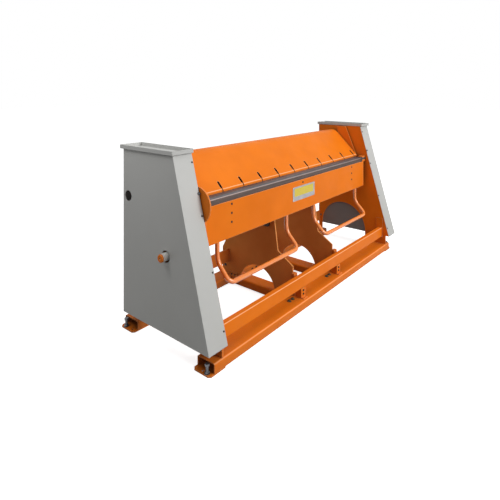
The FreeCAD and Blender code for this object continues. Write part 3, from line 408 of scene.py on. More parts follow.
@dataclass(frozen=True)
class SpeckledSolid(Finish):
    """Plain moulded, dipped or painted material with a fine speckle."""

    speckle_mm: float = 2.0
    strength: float = 0.08
    gloss_level: float = 0.5

    def dress(self, tree: Tree, place: Socket) -> Inputs:
        """Vary the tone and the relief together at the speckle's size.

        Args:
            tree: Material's nodes.
            place: Coordinates.

        Returns:
            Shader inputs.
        """
        speckle = noise(tree, place, 500 / self.speckle_mm, 3.0)
        tone = mixed(tree, ramp(tree, speckle, 0.35, 0.7), linear(self.colour), linear(self.shade))
        return {"Base Color": tone, "Specular IOR Level": self.gloss_level,
                "Normal": relief(tree, speckle, self.strength, 0.3)}


def plating(name: str, colour: str, shade: str, roughness: float, metallic: float = 1.0,
            line_mm: float = 4.0) -> GroundSteel:
    """Return the finish of a plated or cast metal, whose grain has no direction."""
    return GroundSteel(name, colour, shade, roughness, metallic, line_mm=line_mm, run=(1.0, 1.0, 1.0))


# Orange alkyd machine enamel, sprayed over plate: a warm satin.
ORANGE = Enamel("orange_machine_enamel", "#F07D17", "#E67513", 0.5)
# The same enamel under the table, paler and duller, with stronger painted shade that makes it browner.
SHADED_ORANGE = Enamel("orange_enamel_under_painted_shade", "#EB9A50", "#DD8C42", 0.62, shade_depth=0.75,
                      shade_reach_mm=300.0, gloss_level=0.12)
# The same enamel on the clamping beam's skin, a little darker as painted shade, with a painted highlight
# along the bend where sheets rub it.
SKIN_ORANGE = SlottedEnamel("orange_enamel_skin_shade_and_highlight", "#E97A14", "#DF7210", 0.46, gloss_level=0.13,
                            line=(-0.0992, 0.8632))
# The same enamel on the foot bar, with a painted highlight along its upper front edge, where shoes also rub
# it.
BAR_ORANGE = RubbedHighlightEnamel("orange_enamel_rubbed_bar_highlight", "#F07D17", "#E67513", 0.5, line=(-0.3385, 0.2065),
                          line_mm=(1.0, 3.2), strength=0.8)
# The same enamel on the front channel, with a faint painted highlight along its edge, where shoes also rub it
# a little.
BASE_ORANGE = RubbedHighlightEnamel("orange_enamel_rubbed_base_highlight", "#F07D17", "#E67513", 0.5, line=(-0.3735, 0.0575),
                           line_mm=(1.5, 5.0), strength=0.35)
# The same enamel at the back near the floor, darker, with strong painted shade.
REAR_ORANGE = Enamel("orange_enamel_rear_painted_shade", "#D5742C", "#C66A26", 0.6, shade_depth=0.8, gloss_level=0.12)
# Stoved gloss enamel on the bent tubes, with a sharper highlight; its lighter colour is painted highlight.
TUBE_ORANGE = Enamel("orange_gloss_enamel", "#F48B30", "#EC8129", 0.24, gloss_level=0.85)
# Red oxide primer inside the beams, without a top coat, painted near black as painted shade.
SHADE_PRIMER = SpeckledSolid("red_oxide_primer_painted_shade", "#2A150C", "#1D0F0A", 0.85, speckle_mm=3.0, gloss_level=0.1)
# Fine-texture polyester powder coat on the covers: matt and pebbled.
GREY = PowderCoat("light_grey_powder_coat", "#BDBDBA", "#B2B2AE", 0.52)
# The same coat on the guard sheets, painted dark grey as painted shade.
SHADED_GREY = PowderCoat("grey_powder_coat_painted_shade", "#83807E", "#787573", 0.6)
# Ground tool steel of the lower blade: dull silver with lines along the blade.
BLADE = GroundSteel("ground_tool_steel", "#8A8280", "#5A5352", 0.42, 0.8)
# The clamping blade: mill grey on top, with a painted highlight along its nose.
CLAMP_BLADE = GroundSteel("mill_grey_blade_steel", "#6F6A6C", "#4A4648", 0.46, 0.75,
                          nose_highlight_z=(0.8330, 0.8385))
# The folding edge: darker and browner as painted shade.
FOLD_BLADE = GroundSteel("blade_steel_painted_shade", "#5E4F49", "#463A36", 0.48, 0.7)
# Turned machine steel of pins, shafts and rods.
TURNED = GroundSteel("turned_machine_steel", "#9A9A98", "#6C6C6A", 0.32, 1.0, line_mm=1.5,
                     run=(1.0, 0.02, 0.02))
# Anodised aluminium of the blank plate, brushed along its length.
ALUMINIUM = GroundSteel("anodised_aluminium", "#A7A6A6", "#8B8A8C", 0.40, 1.0, line_mm=1.2,
                        run=(0.02, 1.0, 1.0))
# Bright zinc plating on bolts, nuts and rivets.
ZINC = plating("zinc_plated_steel", "#A9AAA8", "#7A7B7A", 0.30)
# The same plating, duller, and darker grey as painted shade.
DULL_ZINC = plating("dull_zinc_plated_steel_painted_shade", "#77787A", "#55565A", 0.42, 0.9)
# Yellow passivated plating, dark and greenish as painted shade.
YELLOW_ZINC = plating("yellow_passivated_steel_painted_shade", "#6B6850", "#4A4838", 0.5, 0.8)
# Cast bearing bronze of the bushes.
BRONZE = plating("bearing_bronze", "#A9824A", "#7E5F33", 0.36, line_mm=2.0)
# Black oxide on screws: nearly black with a slight oily gloss.
BLACK_OXIDE = SpeckledSolid("black_oxide_steel", "#2A211C", "#16110E", 0.38, 0.6, speckle_mm=1.0)
# Oiled spring steel of the disc springs.
SPRING = SpeckledSolid("oiled_spring_steel", "#3A3836", "#242322", 0.35, 1.0, speckle_mm=1.5)
# Black moulded rubber of the buffers.
RUBBER = SpeckledSolid("black_moulded_rubber", "#1C1C1C", "#101010", 0.72, speckle_mm=1.2)
# White scale sleeve, moulded and lightly glossy.
WHITE_PLASTIC = SpeckledSolid("white_scale_plastic", "#F2F1EB", "#E6E5DE", 0.38, speckle_mm=3.0,
                              strength=0.03)
# Red marking paint of the graduation.
RED_PAINT = SpeckledSolid("red_marking_paint", "#A8322A", "#8E2620", 0.45, speckle_mm=1.5, strength=0.03)
# Yellow enamel panel of the blank plate.
YELLOW = SpeckledSolid("yellow_panel_enamel", "#D8C23A", "#CDB532", 0.42, speckle_mm=3.0, strength=0.03)

# CAD nodes of each finish. Plates, beams and arms that aren't named here are plain orange.
NODE_FINISHES: dict[Finish, Sequence[str]] = {
    SHADED_ORANGE: ("centre_ribs", "rib_foot_angles"),
    REAR_ORANGE: ("rear_base_channel", "rear_stretcher"),
    BAR_ORANGE: ("treadle_bar",),
    BASE_ORANGE: ("front_base_channel",),
    SKIN_ORANGE: ("clamp_skin",),
    TUBE_ORANGE: ("handle_left", "handle_right"),
    GREY: ("side_cover_left", "side_cover_right", "lid_tray_left", "lid_tray_right"),
    SHADED_GREY: ("arch_guards",),
    BLADE: ("lower_blade",),
    CLAMP_BLADE: ("upper_blade",),
    FOLD_BLADE: ("folding_blade",),
    TURNED: ("folding_pins", "treadle_pins", "clamp_shafts", "pull_rods", "stop_shaft", "clamp_lever_left",
             "clamp_lever_right", "post_risers"),
    ZINC: ("levelling_bolts", "rib_foot_bolts", "lower_blade_bolts", "post_bolts", "cover_screws",
           "blade_bolts"),
    BLACK_OXIDE: ("plate_bolts",),
    SPRING: ("clamp_springs",),
    BRONZE: ("shaft_bushes",),
    RUBBER: ("post_buffers",),
    WHITE_PLASTIC: ("scale_sleeve",),
}


class Section(Enum):
    """Outline of one level of a turned or hexagonal piece."""

    ROUND = "round"
    HEX = "hex"

    def reach(self, radius: float, angle: float) -> float:
        """Return the distance to the outline at an angle, where a hexagon has a corner at zero."""
        to_flat, off_flat = cos(pi / 6), cos(angle % (pi / 3) - pi / 6)
        return radius if self is Section.ROUND else radius * to_flat / off_flat


ROUND, HEX = Section
Level = tuple[Section, float, float]


@dataclass
class Shape:
    """A mesh in metres that several solids join before it becomes one piece."""

    mesh: bmesh.types.BMesh = field(default_factory=bmesh.new)
    sharp_degrees: float = 35.0

    def skin(self, rings: Sequence[Sequence[Vector]]) -> None:
        """Cover a row of closed rings of points and close its ends.

        Args:
            rings: Points of each ring, in order along the piece and as many in each.
        """
        rows = [[self.mesh.verts.new(point) for point in ring] for ring in rings]
        for low, high in zip(rows, rows[1:]):
            for k in range(len(low)):
                n = (k + 1) % len(low)
                self.mesh.faces.new((low[k], low[n], high[n], high[k]))
        self.mesh.faces.new(rows[0][::-1])
        self.mesh.faces.new(rows[-1])

    def turn(self, levels: Sequence[Level], place: Point, outward: Point, segments: int = 24) -> None:
        """Add a piece that stands on a point, from its outline at each level.

        Args:
            levels: Outline, radius and height in millimetres of each level, from the foot up.
            place: Point that it stands on.
            outward: Direction that it stands in.
            segments: Points round each level.
        """
        frame = Vector(outward).to_track_quat("Z", "Y").to_matrix()
        angles = [2 * pi * k / segments for k in range(segments)]
        rings = []
        for outline, radius, height in levels:
            ring = []
            for angle in angles:
                reach = outline.reach(radius, angle)
                local = Vector((reach * cos(angle), reach * sin(angle), height)) / 1000
                ring.append(Vector(place) + frame @ local)
            rings.append(ring)
        self.skin(rings)

    def hex_bolt(self, place: Point, outward: Point, corner_mm: float, height_mm: float,
                 washer_mm: float = 0.0) -> None:
        """Add a chamfered hexagonal bolt head, on a washer if one is asked for.

        Args:
            place: Point on the face that it is screwed into.
            outward: Direction of the head.
            corner_mm: Radius to the head's corners.
            height_mm: Height of the head.
            washer_mm: Radius of the washer, or zero for none.
        """
        base = 2.0 if washer_mm else 0.0
        washer = [(ROUND, washer_mm, 0.0), (ROUND, washer_mm, 1.6), (ROUND, washer_mm - 0.5, base)]
        head = [(HEX, corner_mm, base), (HEX, corner_mm, base + height_mm * 0.78),
                (ROUND, corner_mm * 0.84, base + height_mm)]
        self.turn(washer + head if washer_mm else head, place, outward)

    def socket_screw(self, place: Point, outward: Point, radius_mm: float, height_mm: float) -> None:
        """Add a socket screw with its hexagonal recess.

        Args:
            place: Point on the face that it is screwed into.
            outward: Direction of the head.
            radius_mm: Radius of the head.
            height_mm: Height of the head.
        """
        key, floor = radius_mm * 0.56, height_mm * 0.35
        head = [(ROUND, radius_mm, 0.0), (ROUND, radius_mm, height_mm * 0.8),
                (ROUND, radius_mm * 0.9, height_mm)]
        self.turn(head + [(HEX, key, height_mm), (HEX, key, floor)], place, outward)

    def bead(self, path: Sequence[Point], radius_mm: float = 3.0, pitch_mm: float = 9.0) -> None:
        """Lay a rippled weld bead along straight runs, half sunk in the joint.

        Args:
            path: Corners that it runs through.
            radius_mm: Half its width.
            pitch_mm: Distance between ripples, coarser than the real 2 mm so that it shows.
        """
        circle = [pi * k / 3 for k in range(6)]
        for start, end in zip(path, path[1:]):
            first, last = Vector(start), Vector(end)
            run = last - first
            frame = run.to_track_quat("Z", "Y").to_matrix()
            count = max(2, round(run.length * 1000 / pitch_mm)) * 2
            rings = []
            for k in range(count + 1):
                radius = radius_mm * (1.0 if k % 2 else 0.8) / 1000
                if k in (0, count):
                    radius *= 0.5
                middle = first + run * (k / count)
                ring = (Vector((radius * cos(a), radius * sin(a), 0.0)) for a in circle)
                rings.append([middle + frame @ point for point in ring])
            self.skin(rings)

    def slab(self, low: Point, high: Point, corner_mm: float, edge_mm: float, across: int = 1) -> None:
        """Add a flat plate with rounded corners and broken edges.

        Args:
            low: Lowest corner.
            high: Highest corner.
            corner_mm: Radius of the corners of its outline.
            edge_mm: Width of the broken edge.
            across: Axis of its thickness.
        """
        steps = 4
        u, v = (axis for axis in range(3) if axis != across)
        edge = edge_mm / 1000
        rings = []
        back, face = low[across], high[across]
        for depth, inset in ((back, edge), (back + edge, 0.0), (face - edge, 0.0), (face, edge)):
            r = max(corner_mm / 1000 - inset, 1e-4)
            left, right = low[u] + inset + r, high[u] - inset - r
            bottom, top = low[v] + inset + r, high[v] - inset - r
            ring = []
            for quarter, (cu, cv) in enumerate(((right, top), (left, top), (left, bottom), (right, bottom))):
                for k in range(steps + 1):
                    angle = pi / 2 * (quarter + k / steps)
                    point = Vector((0.0, 0.0, 0.0))
                    point[u] = cu + r * cos(angle)
                    point[v] = cv + r * sin(angle)
                    point[across] = depth
                    ring.append(point)
            rings.append(ring)
        self.skin(rings)

    def piece(self, name: str, finish: Finish, body: Body, slot: str, stands_for: str = "") -> None:
        """Turn the mesh into a named piece that rides on a body.

        Args:
            name: Name of the piece.
            finish: Its surface.
            body: Body that it moves with.
            slot: Material slot of the record that it belongs to; not used.
            stands_for: CAD node that it replaces, if any.
        """
        bmesh.ops.recalc_face_normals(self.mesh, faces=self.mesh.faces)
        for edge in self.mesh.edges:
            edge.smooth = edge.calc_face_angle(0.0) < radians(self.sharp_degrees)
        for face in self.mesh.faces:
            face.smooth = True
        made = bpy.data.meshes.new(name)
        self.mesh.to_mesh(made)
        self.mesh.free()
        made.materials.append(finish.material())
        thing = bpy.data.objects.new(name, made)
        bpy.context.scene.collection.objects.link(thing)
        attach(thing, body.value)
        if stands_for:
            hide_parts(stands_for)
        LOG.info("piece %s: %d faces", name, len(made.polygons))


@dataclass
class FrameDress:
    """Gives every CAD node its finish."""

    nodes: dict[str, bpy.types.Object]

    def build(self) -> None:
        """Put one finish on each node."""
        chosen = {name: finish for finish, names in NODE_FINISHES.items() for name in names}
        for name, thing in self.nodes.items():
            thing.data.materials.clear()
            thing.data.materials.append(chosen.pop(name, ORANGE).material())
        for name in sorted(chosen):
            LOG.warning("the frame has no node %s", name)
        LOG.info("dressed %d nodes", len(self.nodes))


@dataclass
class BaseFrame:
    """Base channels, ribs and posts: levelling feet, bolts and welds."""

    channel_end: float = 1.155
    foot_weld_end: float = 1.075
    foot_bolt_x: float = 1.175
    level_y: Pair = (-0.342, 0.368)
    foot_top: float = 0.008
    base_top: float = 0.060
    rib_face: float = 0.280
    rib_thickness: float = 0.010
    rib_welds: Sequence[Point] = ((-0.272, -0.123, 0.060), (0.206, 0.384, 0.060), (-0.107, 0.019, 0.600))
    angle_length: float = 0.064
    angle_thickness: float = 0.005
    angle_middle: float = 0.01375
    plate_inner: float = 1.085
    plate_front: float = -0.370
    plate_rear: float = 0.321
    post_x: float = 0.250
    post_front: float = -0.340
    post_screw_z: Pair = (0.086, 0.110)
    post_half: float = 0.025
    post_weld_y: Sequence[float] = (-0.292, -0.340, -0.358)
    rear_face: float = 0.277
    clamp_bolt_y: float = -0.297
    oiler: Box = ((0.280, -0.075, 0.500), (0.298, -0.020, 0.526))
    guide_block: Box = ((0.262, -0.2995, 0.186), (0.300, -0.2728, 0.224))
    joint_plate: Box = ((0.3025, 0.196, 0.014), (0.3085, 0.272, 0.050))

    def levelling_feet(self) -> None:
        """Make the threaded levelling bolts with their washers, lock nuts and heads."""
        tip = [(ROUND, 7.0, 0.5), (ROUND, 8.0, 1.5), (ROUND, 8.0, 8.4)]
        washer = [(ROUND, 16.0, 8.4), (ROUND, 16.0, 10.4)]
        nut = [(HEX, 13.0, 10.4), (HEX, 13.5, 11.6), (HEX, 13.5, 19.0), (HEX, 13.0, 20.2), (ROUND, 8.0, 20.2)]
        thread = [(ROUND, 8.0 if k % 2 else 7.0, 21.0 + k * 2.4) for k in range(11)]
        neck = [(ROUND, 8.0, 46.4)]
        head = [(HEX, 12.4, 46.4), (HEX, 13.5, 47.8), (HEX, 13.5, 56.6), (ROUND, 11.0, 59.2)]
        shape = Shape()
        for side in Side:
            for y in self.level_y:
                place = (side.x(self.foot_bolt_x), y, 0.0)
                shape.turn(tip + washer + nut + thread + neck + head, place, UP)
        shape.piece("levelling_feet", DULL_ZINC, Body.STAND, "zinc_plated_steel", "levelling_bolts")

    def bolts(self) -> None:
        """Make the rib foot bolts and the post screws, dark from the workshop's oil."""
        shape = Shape()
        low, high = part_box("rib_foot_angles")
        z = self.base_top + self.angle_thickness
        for side in Side:
            x = side.x(self.rib_face + self.angle_middle)
            for y0 in (low[1], high[1] - self.angle_length):
                for share in (0.25, 0.75):
                    shape.hex_bolt((x, y0 + share * self.angle_length, z), UP, 6.5, 5.0)
        shape.piece("rib_foot_hex_bolts", BLACK_OXIDE, Body.STAND, "zinc_plated_steel", "rib_foot_bolts")
        shape = Shape()
        for side in Side:
            for z in self.post_screw_z:
                shape.socket_screw((side.x(self.post_x), self.post_front, z), FORWARD, 7.0, 4.5)
        shape.piece("post_socket_screws", BLACK_OXIDE, Body.STAND, "zinc_plated_steel", "post_bolts")

    def welds(self) -> None:
        """Lay the weld beads of the side plates, ribs, posts, stretcher and foot plates."""
        shape = Shape()
        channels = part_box("front_base_channel"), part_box("rear_base_channel")
        front_end, back_start = channels[0][1][1], channels[1][0][1]
        near, far = (corner[1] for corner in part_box("rear_stretcher"))
        bottom, top = 0.152, 0.250
        radius, inset = 0.012, 0.0022
        for side in Side:
            x = side.x(self.plate_inner)
            shape.bead([(x, self.plate_front, self.base_top), (x, front_end - radius, self.base_top)])
            shape.bead([(x, back_start + radius, self.base_top), (x, self.plate_rear, self.base_top)])
            for z in (bottom, top):
                end = side.x(self.plate_inner - 0.001)
                shape.bead([(end, near + 0.001, z), (end, far, z)])
            upright = (near, bottom + 0.001), (near, top - 0.001)
            shape.bead([(x, *end) for end in upright])
            for face in (self.rib_face, self.rib_face - self.rib_thickness):
                x = side.x(face)
                for start, stop, z in self.rib_welds:
                    shape.bead([(x, start, z), (x, stop, z)], 2.6)
                shape.bead([(x, *end) for end in upright], 2.6)
            left, right = side.x(self.post_x) - self.post_half, side.x(self.post_x) + self.post_half
            first, _, last = self.post_weld_y
            around = [(left, y) for y in self.post_weld_y] + [(right, last), (right, first)]
            shape.bead([(x, y, self.base_top) for x, y in around], 2.0)
            outer, inner = side.x(self.channel_end), side.x(self.foot_weld_end)
            for low, high in channels:
                for y in (low[1] + inset, high[1] - inset):
                    shape.bead([(outer, y, self.foot_top), (inner, y, self.foot_top)], 2.0)
        shape.piece("stand_weld_beads", ORANGE, Body.STAND, "orange_paint")

    def oilers(self) -> None:
        """Make the dark oiler blocks on the ribs under the table, each held by one screw."""
        shape = Shape()
        face, screw_y, screw_z = self.oiler[1][0], -0.047, 0.513
        for side in Side:
            shape.slab(*side.box(*self.oiler), 5.0, 1.5, across=0)
            shape.socket_screw((side.x(face), screw_y, screw_z), side.outward(), 6.0, 4.0)
        shape.piece("oiler_blocks", BLACK_OXIDE, Body.STAND, "machined_steel")

    def channel_bolts(self) -> None:
        """Make the bolts at the ribs' rear legs, on the rear channel's face and through the front channel."""
        shape = Shape()
        leg_y, leg_z, channel_z = 0.353, 0.118, 0.027
        for side in Side:
            shape.hex_bolt((side.x(self.rib_face), leg_y, leg_z), side.outward(), 10.0, 7.0)
        for x in (-0.046, 0.006):
            shape.hex_bolt((x, self.rear_face, channel_z), FORWARD, 10.0, 7.0)
        shape.piece("rear_hex_bolts", BLACK_OXIDE, Body.STAND, "zinc_plated_steel")
        # The bolts under the foot bar are dark olive: painted shade.
        shape = Shape()
        for side in Side:
            for step in (0.068, 0.106):
                place = (side.x(self.post_x) - step, self.clamp_bolt_y, self.base_top)
                shape.hex_bolt(place, UP, 10.0, 8.0, washer_mm=14.0)
        shape.piece("base_clamp_bolts", YELLOW_ZINC, Body.STAND, "zinc_plated_steel")

    def guide_blocks(self) -> None:
        """Make the blocks on the ribs' front edges that guide the foot bar, 2 mm clear of it."""
        shape = Shape()
        for side in Side:
            shape.slab(*side.box(*self.guide_block), 4.0, 2.0, across=0)
        shape.piece("bar_guide_blocks", REAR_ORANGE, Body.STAND, "orange_paint")

    def joint_plates(self) -> None:
        """Make the small plates with two painted bolts where the cross members meet the rear channel."""
        shape = Shape()
        face, bolt_z = self.joint_plate[1][0], 0.032
        for side in Side:
            shape.slab(*side.box(*self.joint_plate), 5.0, 1.5, across=0)
            for y in (0.214, 0.254):
                shape.hex_bolt((side.x(face), y, bolt_z), side.outward(), 8.0, 6.0)
        shape.piece("joint_plates", REAR_ORANGE, Body.STAND, "orange_paint")

    def build(self) -> None:
        """Make every detail of the base."""
        self.levelling_feet()
        self.bolts()
        self.channel_bolts()
        self.guide_blocks()
        self.joint_plates()
        self.welds()
        self.oilers()


@dataclass
class Housings:
    """Side covers with their screws, and the rest stop that comes out of the left one."""

    outer: float = 1.225
    top: Pair = (-0.125, 1.125)
    bottom: Pair = (-0.405, 0.135)
    screw_x: float = 1.095
    screw_z: Sequence[float] = (0.207, 0.4957, 0.7843, 1.073)
    clamp_bolt_x: float = 1.089
    clamp_bolt_z: float = 0.902
    stop_y: float = -0.070
    stop_z: float = 0.563
    sleeve_mm: float = 23.0
    marks_round: int = 12

    def on_front(self, x: float, z: float) -> Point:
        """Return the point of the covers' sloping front face at this X and Z."""
        slope = (self.top[0] - self.bottom[0]) / (self.top[1] - self.bottom[1])
        return (x, self.bottom[0] + (z - self.bottom[1]) * slope, z)

    def front_normal(self) -> Point:
        """Return the direction that the covers' front faces look in."""
        rise = atan2(self.top[0] - self.bottom[0], self.top[1] - self.bottom[1])
        return (0.0, -cos(rise), sin(rise))

    def screws(self) -> None:
        """Make the small dark screws of the front faces and a large bolt with its washer on each side."""
        shape = Shape()
        bolts = Shape()
        outward = self.front_normal()
        for side in Side:
            for z in self.screw_z:
                shape.hex_bolt(self.on_front(side.x(self.screw_x), z), outward, 5.5, 3.6)
            place = self.on_front(side.x(self.clamp_bolt_x), self.clamp_bolt_z)
            bolts.hex_bolt(place, outward, 7.5, 6.5, washer_mm=9.0)
        shape.piece("cover_hex_screws", BLACK_OXIDE, Body.STAND, "zinc_plated_steel", "cover_screws")
        bolts.piece("cover_clamp_bolts", DULL_ZINC, Body.STAND, "zinc_plated_steel")

    def scale(self) -> None:
        """Paint three rows of short red graduation marks round the white sleeve."""
        shape = Shape()
        half_width, sunk, proud = 0.0007, -0.0004, 0.0003
        first, pitch, twist = 0.006, 0.009, 10
        for row, length_mm in enumerate((5.0, 3.0, 5.0)):
            x = -(self.outer + first + row * pitch)
            along = Vector((length_mm / 2000, 0.0, 0.0))
            for k in range(self.marks_round):
                angle = radians(k * 360 / self.marks_round + row * twist)
                outward = Vector((0.0, cos(angle), sin(angle)))
                wide = Vector((0.0, -sin(angle), cos(angle))) * half_width
                middle = Vector((x, self.stop_y, self.stop_z)) + outward * self.sleeve_mm / 1000
                start, end = middle - along, middle + along
                outline = [start - wide, end - wide, end + wide, start + wide]
                shape.skin([[corner + outward * lift for corner in outline] for lift in (sunk, proud)])
        shape.piece("sleeve_scale_marks", RED_PAINT, Body.STOP, "white_scale")

    def knob(self) -> None:
        """Make the knob with a chamfered rim and a hexagonal recess in its middle."""
        shape = Shape()
        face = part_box("stop_knob")[1][0]
        rim = [(ROUND, 20.5, 0.0), (ROUND, 22.0, 1.2), (ROUND, 22.0, 9.0), (ROUND, 20.2, 11.0)]
        disc = [(ROUND, 18.8, 12.0), (ROUND, 7.0, 12.0)]
        recess = [(ROUND, 6.6, 11.0), (HEX, 4.4, 11.0), (HEX, 4.4, 7.0)]
        shape.turn(rim + disc + recess, (face, self.stop_y, self.stop_z), Side.LEFT.outward(), 36)
        shape.piece("stop_hand_knob", ORANGE, Body.STOP, "orange_paint", "stop_knob")

    def build(self) -> None:
        """Make every detail of the housings."""
        self.screws()
        self.scale()
        self.knob()


@dataclass
class FoldingBeam:
    """The swinging beam: blank plate, screws, and the welds behind it."""

    front: float = -0.177
    back: float = -0.169
    half: float = 1.020
    plate_low: Point = (-0.135, -0.1785, 0.660)
    plate_high: Point = (0.165, -0.177, 0.763)
    bolt_x: float = 0.800
    bolt_z: Sequence[float] = (0.785, 0.730, 0.675)
    handle_legs: Pair = (0.187, 0.905)
    plate_bottom: float = 0.584

    def blank_plate(self) -> None:
        """Make the blank aluminium plate with its blank yellow panel and four small rivets."""
        plate, panel, rivets = Shape(), Shape(), Shape()
        (left, face, bottom), (right, _, top) = self.plate_low, self.plate_high
        plate.slab(self.plate_low, self.plate_high, 3.0, 0.3)
        plate.piece("blank_aluminium_plate", ALUMINIUM, Body.FOLDING, "machined_steel")
        side_rim, lower_rim, upper_rim, proud, sunk = 0.022, 0.033, 0.012, 0.0005, 0.0002
        panel.slab((left + side_rim, face - proud, bottom + lower_rim),
                   (right - side_rim, face + sunk, top - upper_rim), 2.0, 0.1)
        panel.piece("blank_yellow_panel", YELLOW, Body.FOLDING, "orange_paint")
        inset = 0.008
        head = [(ROUND, 3.0, 0.0), (ROUND, 2.6, 0.7), (ROUND, 1.2, 1.2)]
        for x in (left + inset, right - inset):
            for z in (bottom + inset, top - inset):
                rivets.turn(head, (x, face, z), FORWARD, 16)
        rivets.piece("plate_rivets", ZINC, Body.FOLDING, "zinc_plated_steel")

    def screws(self) -> None:
        """Make the seven socket screws in the front plate."""
        shape = Shape()
        places = [(side.x(self.bolt_x), z) for side in Side for z in self.bolt_z] + [(0.0, self.bolt_z[0])]
        for x, z in places:
            shape.socket_screw((x, self.front, z), FORWARD, 7.0, 2.5)
        shape.piece("folding_plate_screws", BLACK_OXIDE, Body.FOLDING, "zinc_plated_steel", "plate_bolts")

    def welds(self) -> None:
        """Lay the beads that hold the handles, the stiffening channel, the end plates and the hubs."""
        shape = Shape()
        low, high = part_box("folding_stiffener")
        length = self.half - 0.004
        leg_y, leg_top, leg_half = self.back + 0.0028, 0.652, 0.0105
        hub_x, hub_y, hub_bottom, hub_top = self.half + 0.022, -0.138, 0.805, 0.853
        hub = (self.front + 0.001, hub_bottom), (hub_y, hub_bottom), (hub_y, hub_top)
        for z in (low[2], high[2]):
            shape.bead([(-length, self.back, z), (length, self.back, z)], 2.6, 12.0)
        for side in Side:
            for leg in self.handle_legs:
                for x in (side.x(leg) - leg_half, side.x(leg) + leg_half):
                    shape.bead([(x, leg_y, self.plate_bottom), (x, leg_y, leg_top)], 3.2)
            x = side.x(self.half - 0.001)
            shape.bead([(x, self.back, self.plate_bottom), (x, self.back, low[2] - 0.004)], 2.6)
            shape.bead([(side.x(hub_x), *corner) for corner in hub], 2.2)
        shape.piece("folding_beam_weld_beads", ORANGE, Body.FOLDING, "orange_paint")

    def build(self) -> None:
        """Make every detail of the folding beam."""
        self.blank_plate()
        self.screws()
        self.welds()


@dataclass
class ClampingBeam:
    """The lifting beam: blade bolts, inner web, the block on its lip and the shafts' grub screws."""

    half: float = 1.054
    bolt_y: float = -0.072
    bolt_z: float = 0.8554
    pitch: float = 0.200
    pivot: Pair = (0.275, 0.845)
    web_y: float = -0.0430
    web_top: float = 0.909
    lip_stop: Box = ((-1.046, -0.116, 0.864), (-0.962, -0.0985, 0.877))

    def blade_bolts(self) -> None:
        """Make the eleven dark bolts behind the slots."""
        shape = Shape()
        for k in range(-5, 6):
            shape.hex_bolt((k * self.pitch, self.bolt_y, self.bolt_z), UP, 9.0, 8.0)
        shape.piece("blade_hex_bolts", BLACK_OXIDE, Body.CLAMPING, "zinc_plated_steel", "blade_bolts")

    def inner_web(self) -> None:
        """Make the primed stiffening web behind the slots, near black as painted shade, with a weld bead
        along its foot.
        """
        shape = Shape()
        length, gap, thickness = self.half - 0.012, 0.02, 0.004
        back = self.web_y + thickness
        shape.slab((-length, self.web_y, self.bolt_z), (length, back, self.web_top), 4.0, 0.8)
        z = self.bolt_z + 0.003
        for side in Side:
            shape.bead([(side.x(length), self.web_y, z), (side.x(gap), self.web_y, z)], 2.6, 16.0)
        shape.piece("clamp_inner_web", SHADE_PRIMER, Body.CLAMPING, "orange_paint")

    def lip_block(self) -> None:
        """Make the small stop block on the lip's left end."""
        shape = Shape()
        (left, front, bottom), (right, _, top) = self.lip_stop
        shape.slab(*self.lip_stop, 3.0, 1.5)
        shape.socket_screw(((left + right) / 2, front, (bottom + top) / 2), FORWARD, 4.0, 2.0)
        shape.piece("lip_stop_block", SKIN_ORANGE, Body.CLAMPING, "orange_paint")

    def shaft_screws(self) -> None:
        """Put a grub screw on each shaft's boss, beside the side plate."""
        shape = Shape()
        (y, z), boss_x, boss_radius = self.pivot, self.half + 0.014, 0.030
        for side in Side:
            shape.socket_screw((side.x(boss_x), y, z + boss_radius), UP, 4.5, 2.0)
        shape.piece("shaft_grub_screws", BLACK_OXIDE, Body.CLAMPING, "machined_steel")

    def build(self) -> None:
        """Make every detail of the clamping beam."""
        self.blade_bolts()
        self.inner_web()
        self.lip_block()
        self.shaft_screws()


@dataclass
class Linkage:
    """Disc spring stacks inside the housings."""

    rod_y: float = -0.025
    discs: int = 18
    rim_mm: float = 24.0
    waist_mm: float = 21.6

    def build(self) -> None:
        """Make each closed stack from coned discs, set face to face and back to back."""
        shape = Shape()
        low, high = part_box("clamp_springs")
        pitch = (high[2] - low[2]) * 1000 / self.discs
        levels: list[Level] = []
        for k in range(self.discs):
            disc = [(self.waist_mm, 0.1), (self.rim_mm, pitch * 0.45), (self.rim_mm, pitch - 0.3)]
            if k % 2 == 0:
                disc = [(radius, pitch - height) for radius, height in disc[::-1]]
            levels += [(ROUND, radius, k * pitch + height) for radius, height in disc]
        for side in Side:
            shape.turn(levels, (side.x(high[0] - self.rim_mm / 1000), self.rod_y, low[2]), UP, 28)
        shape.piece("disc_spring_stacks", SPRING, Body.RODS, "spring_steel", "clamp_springs")


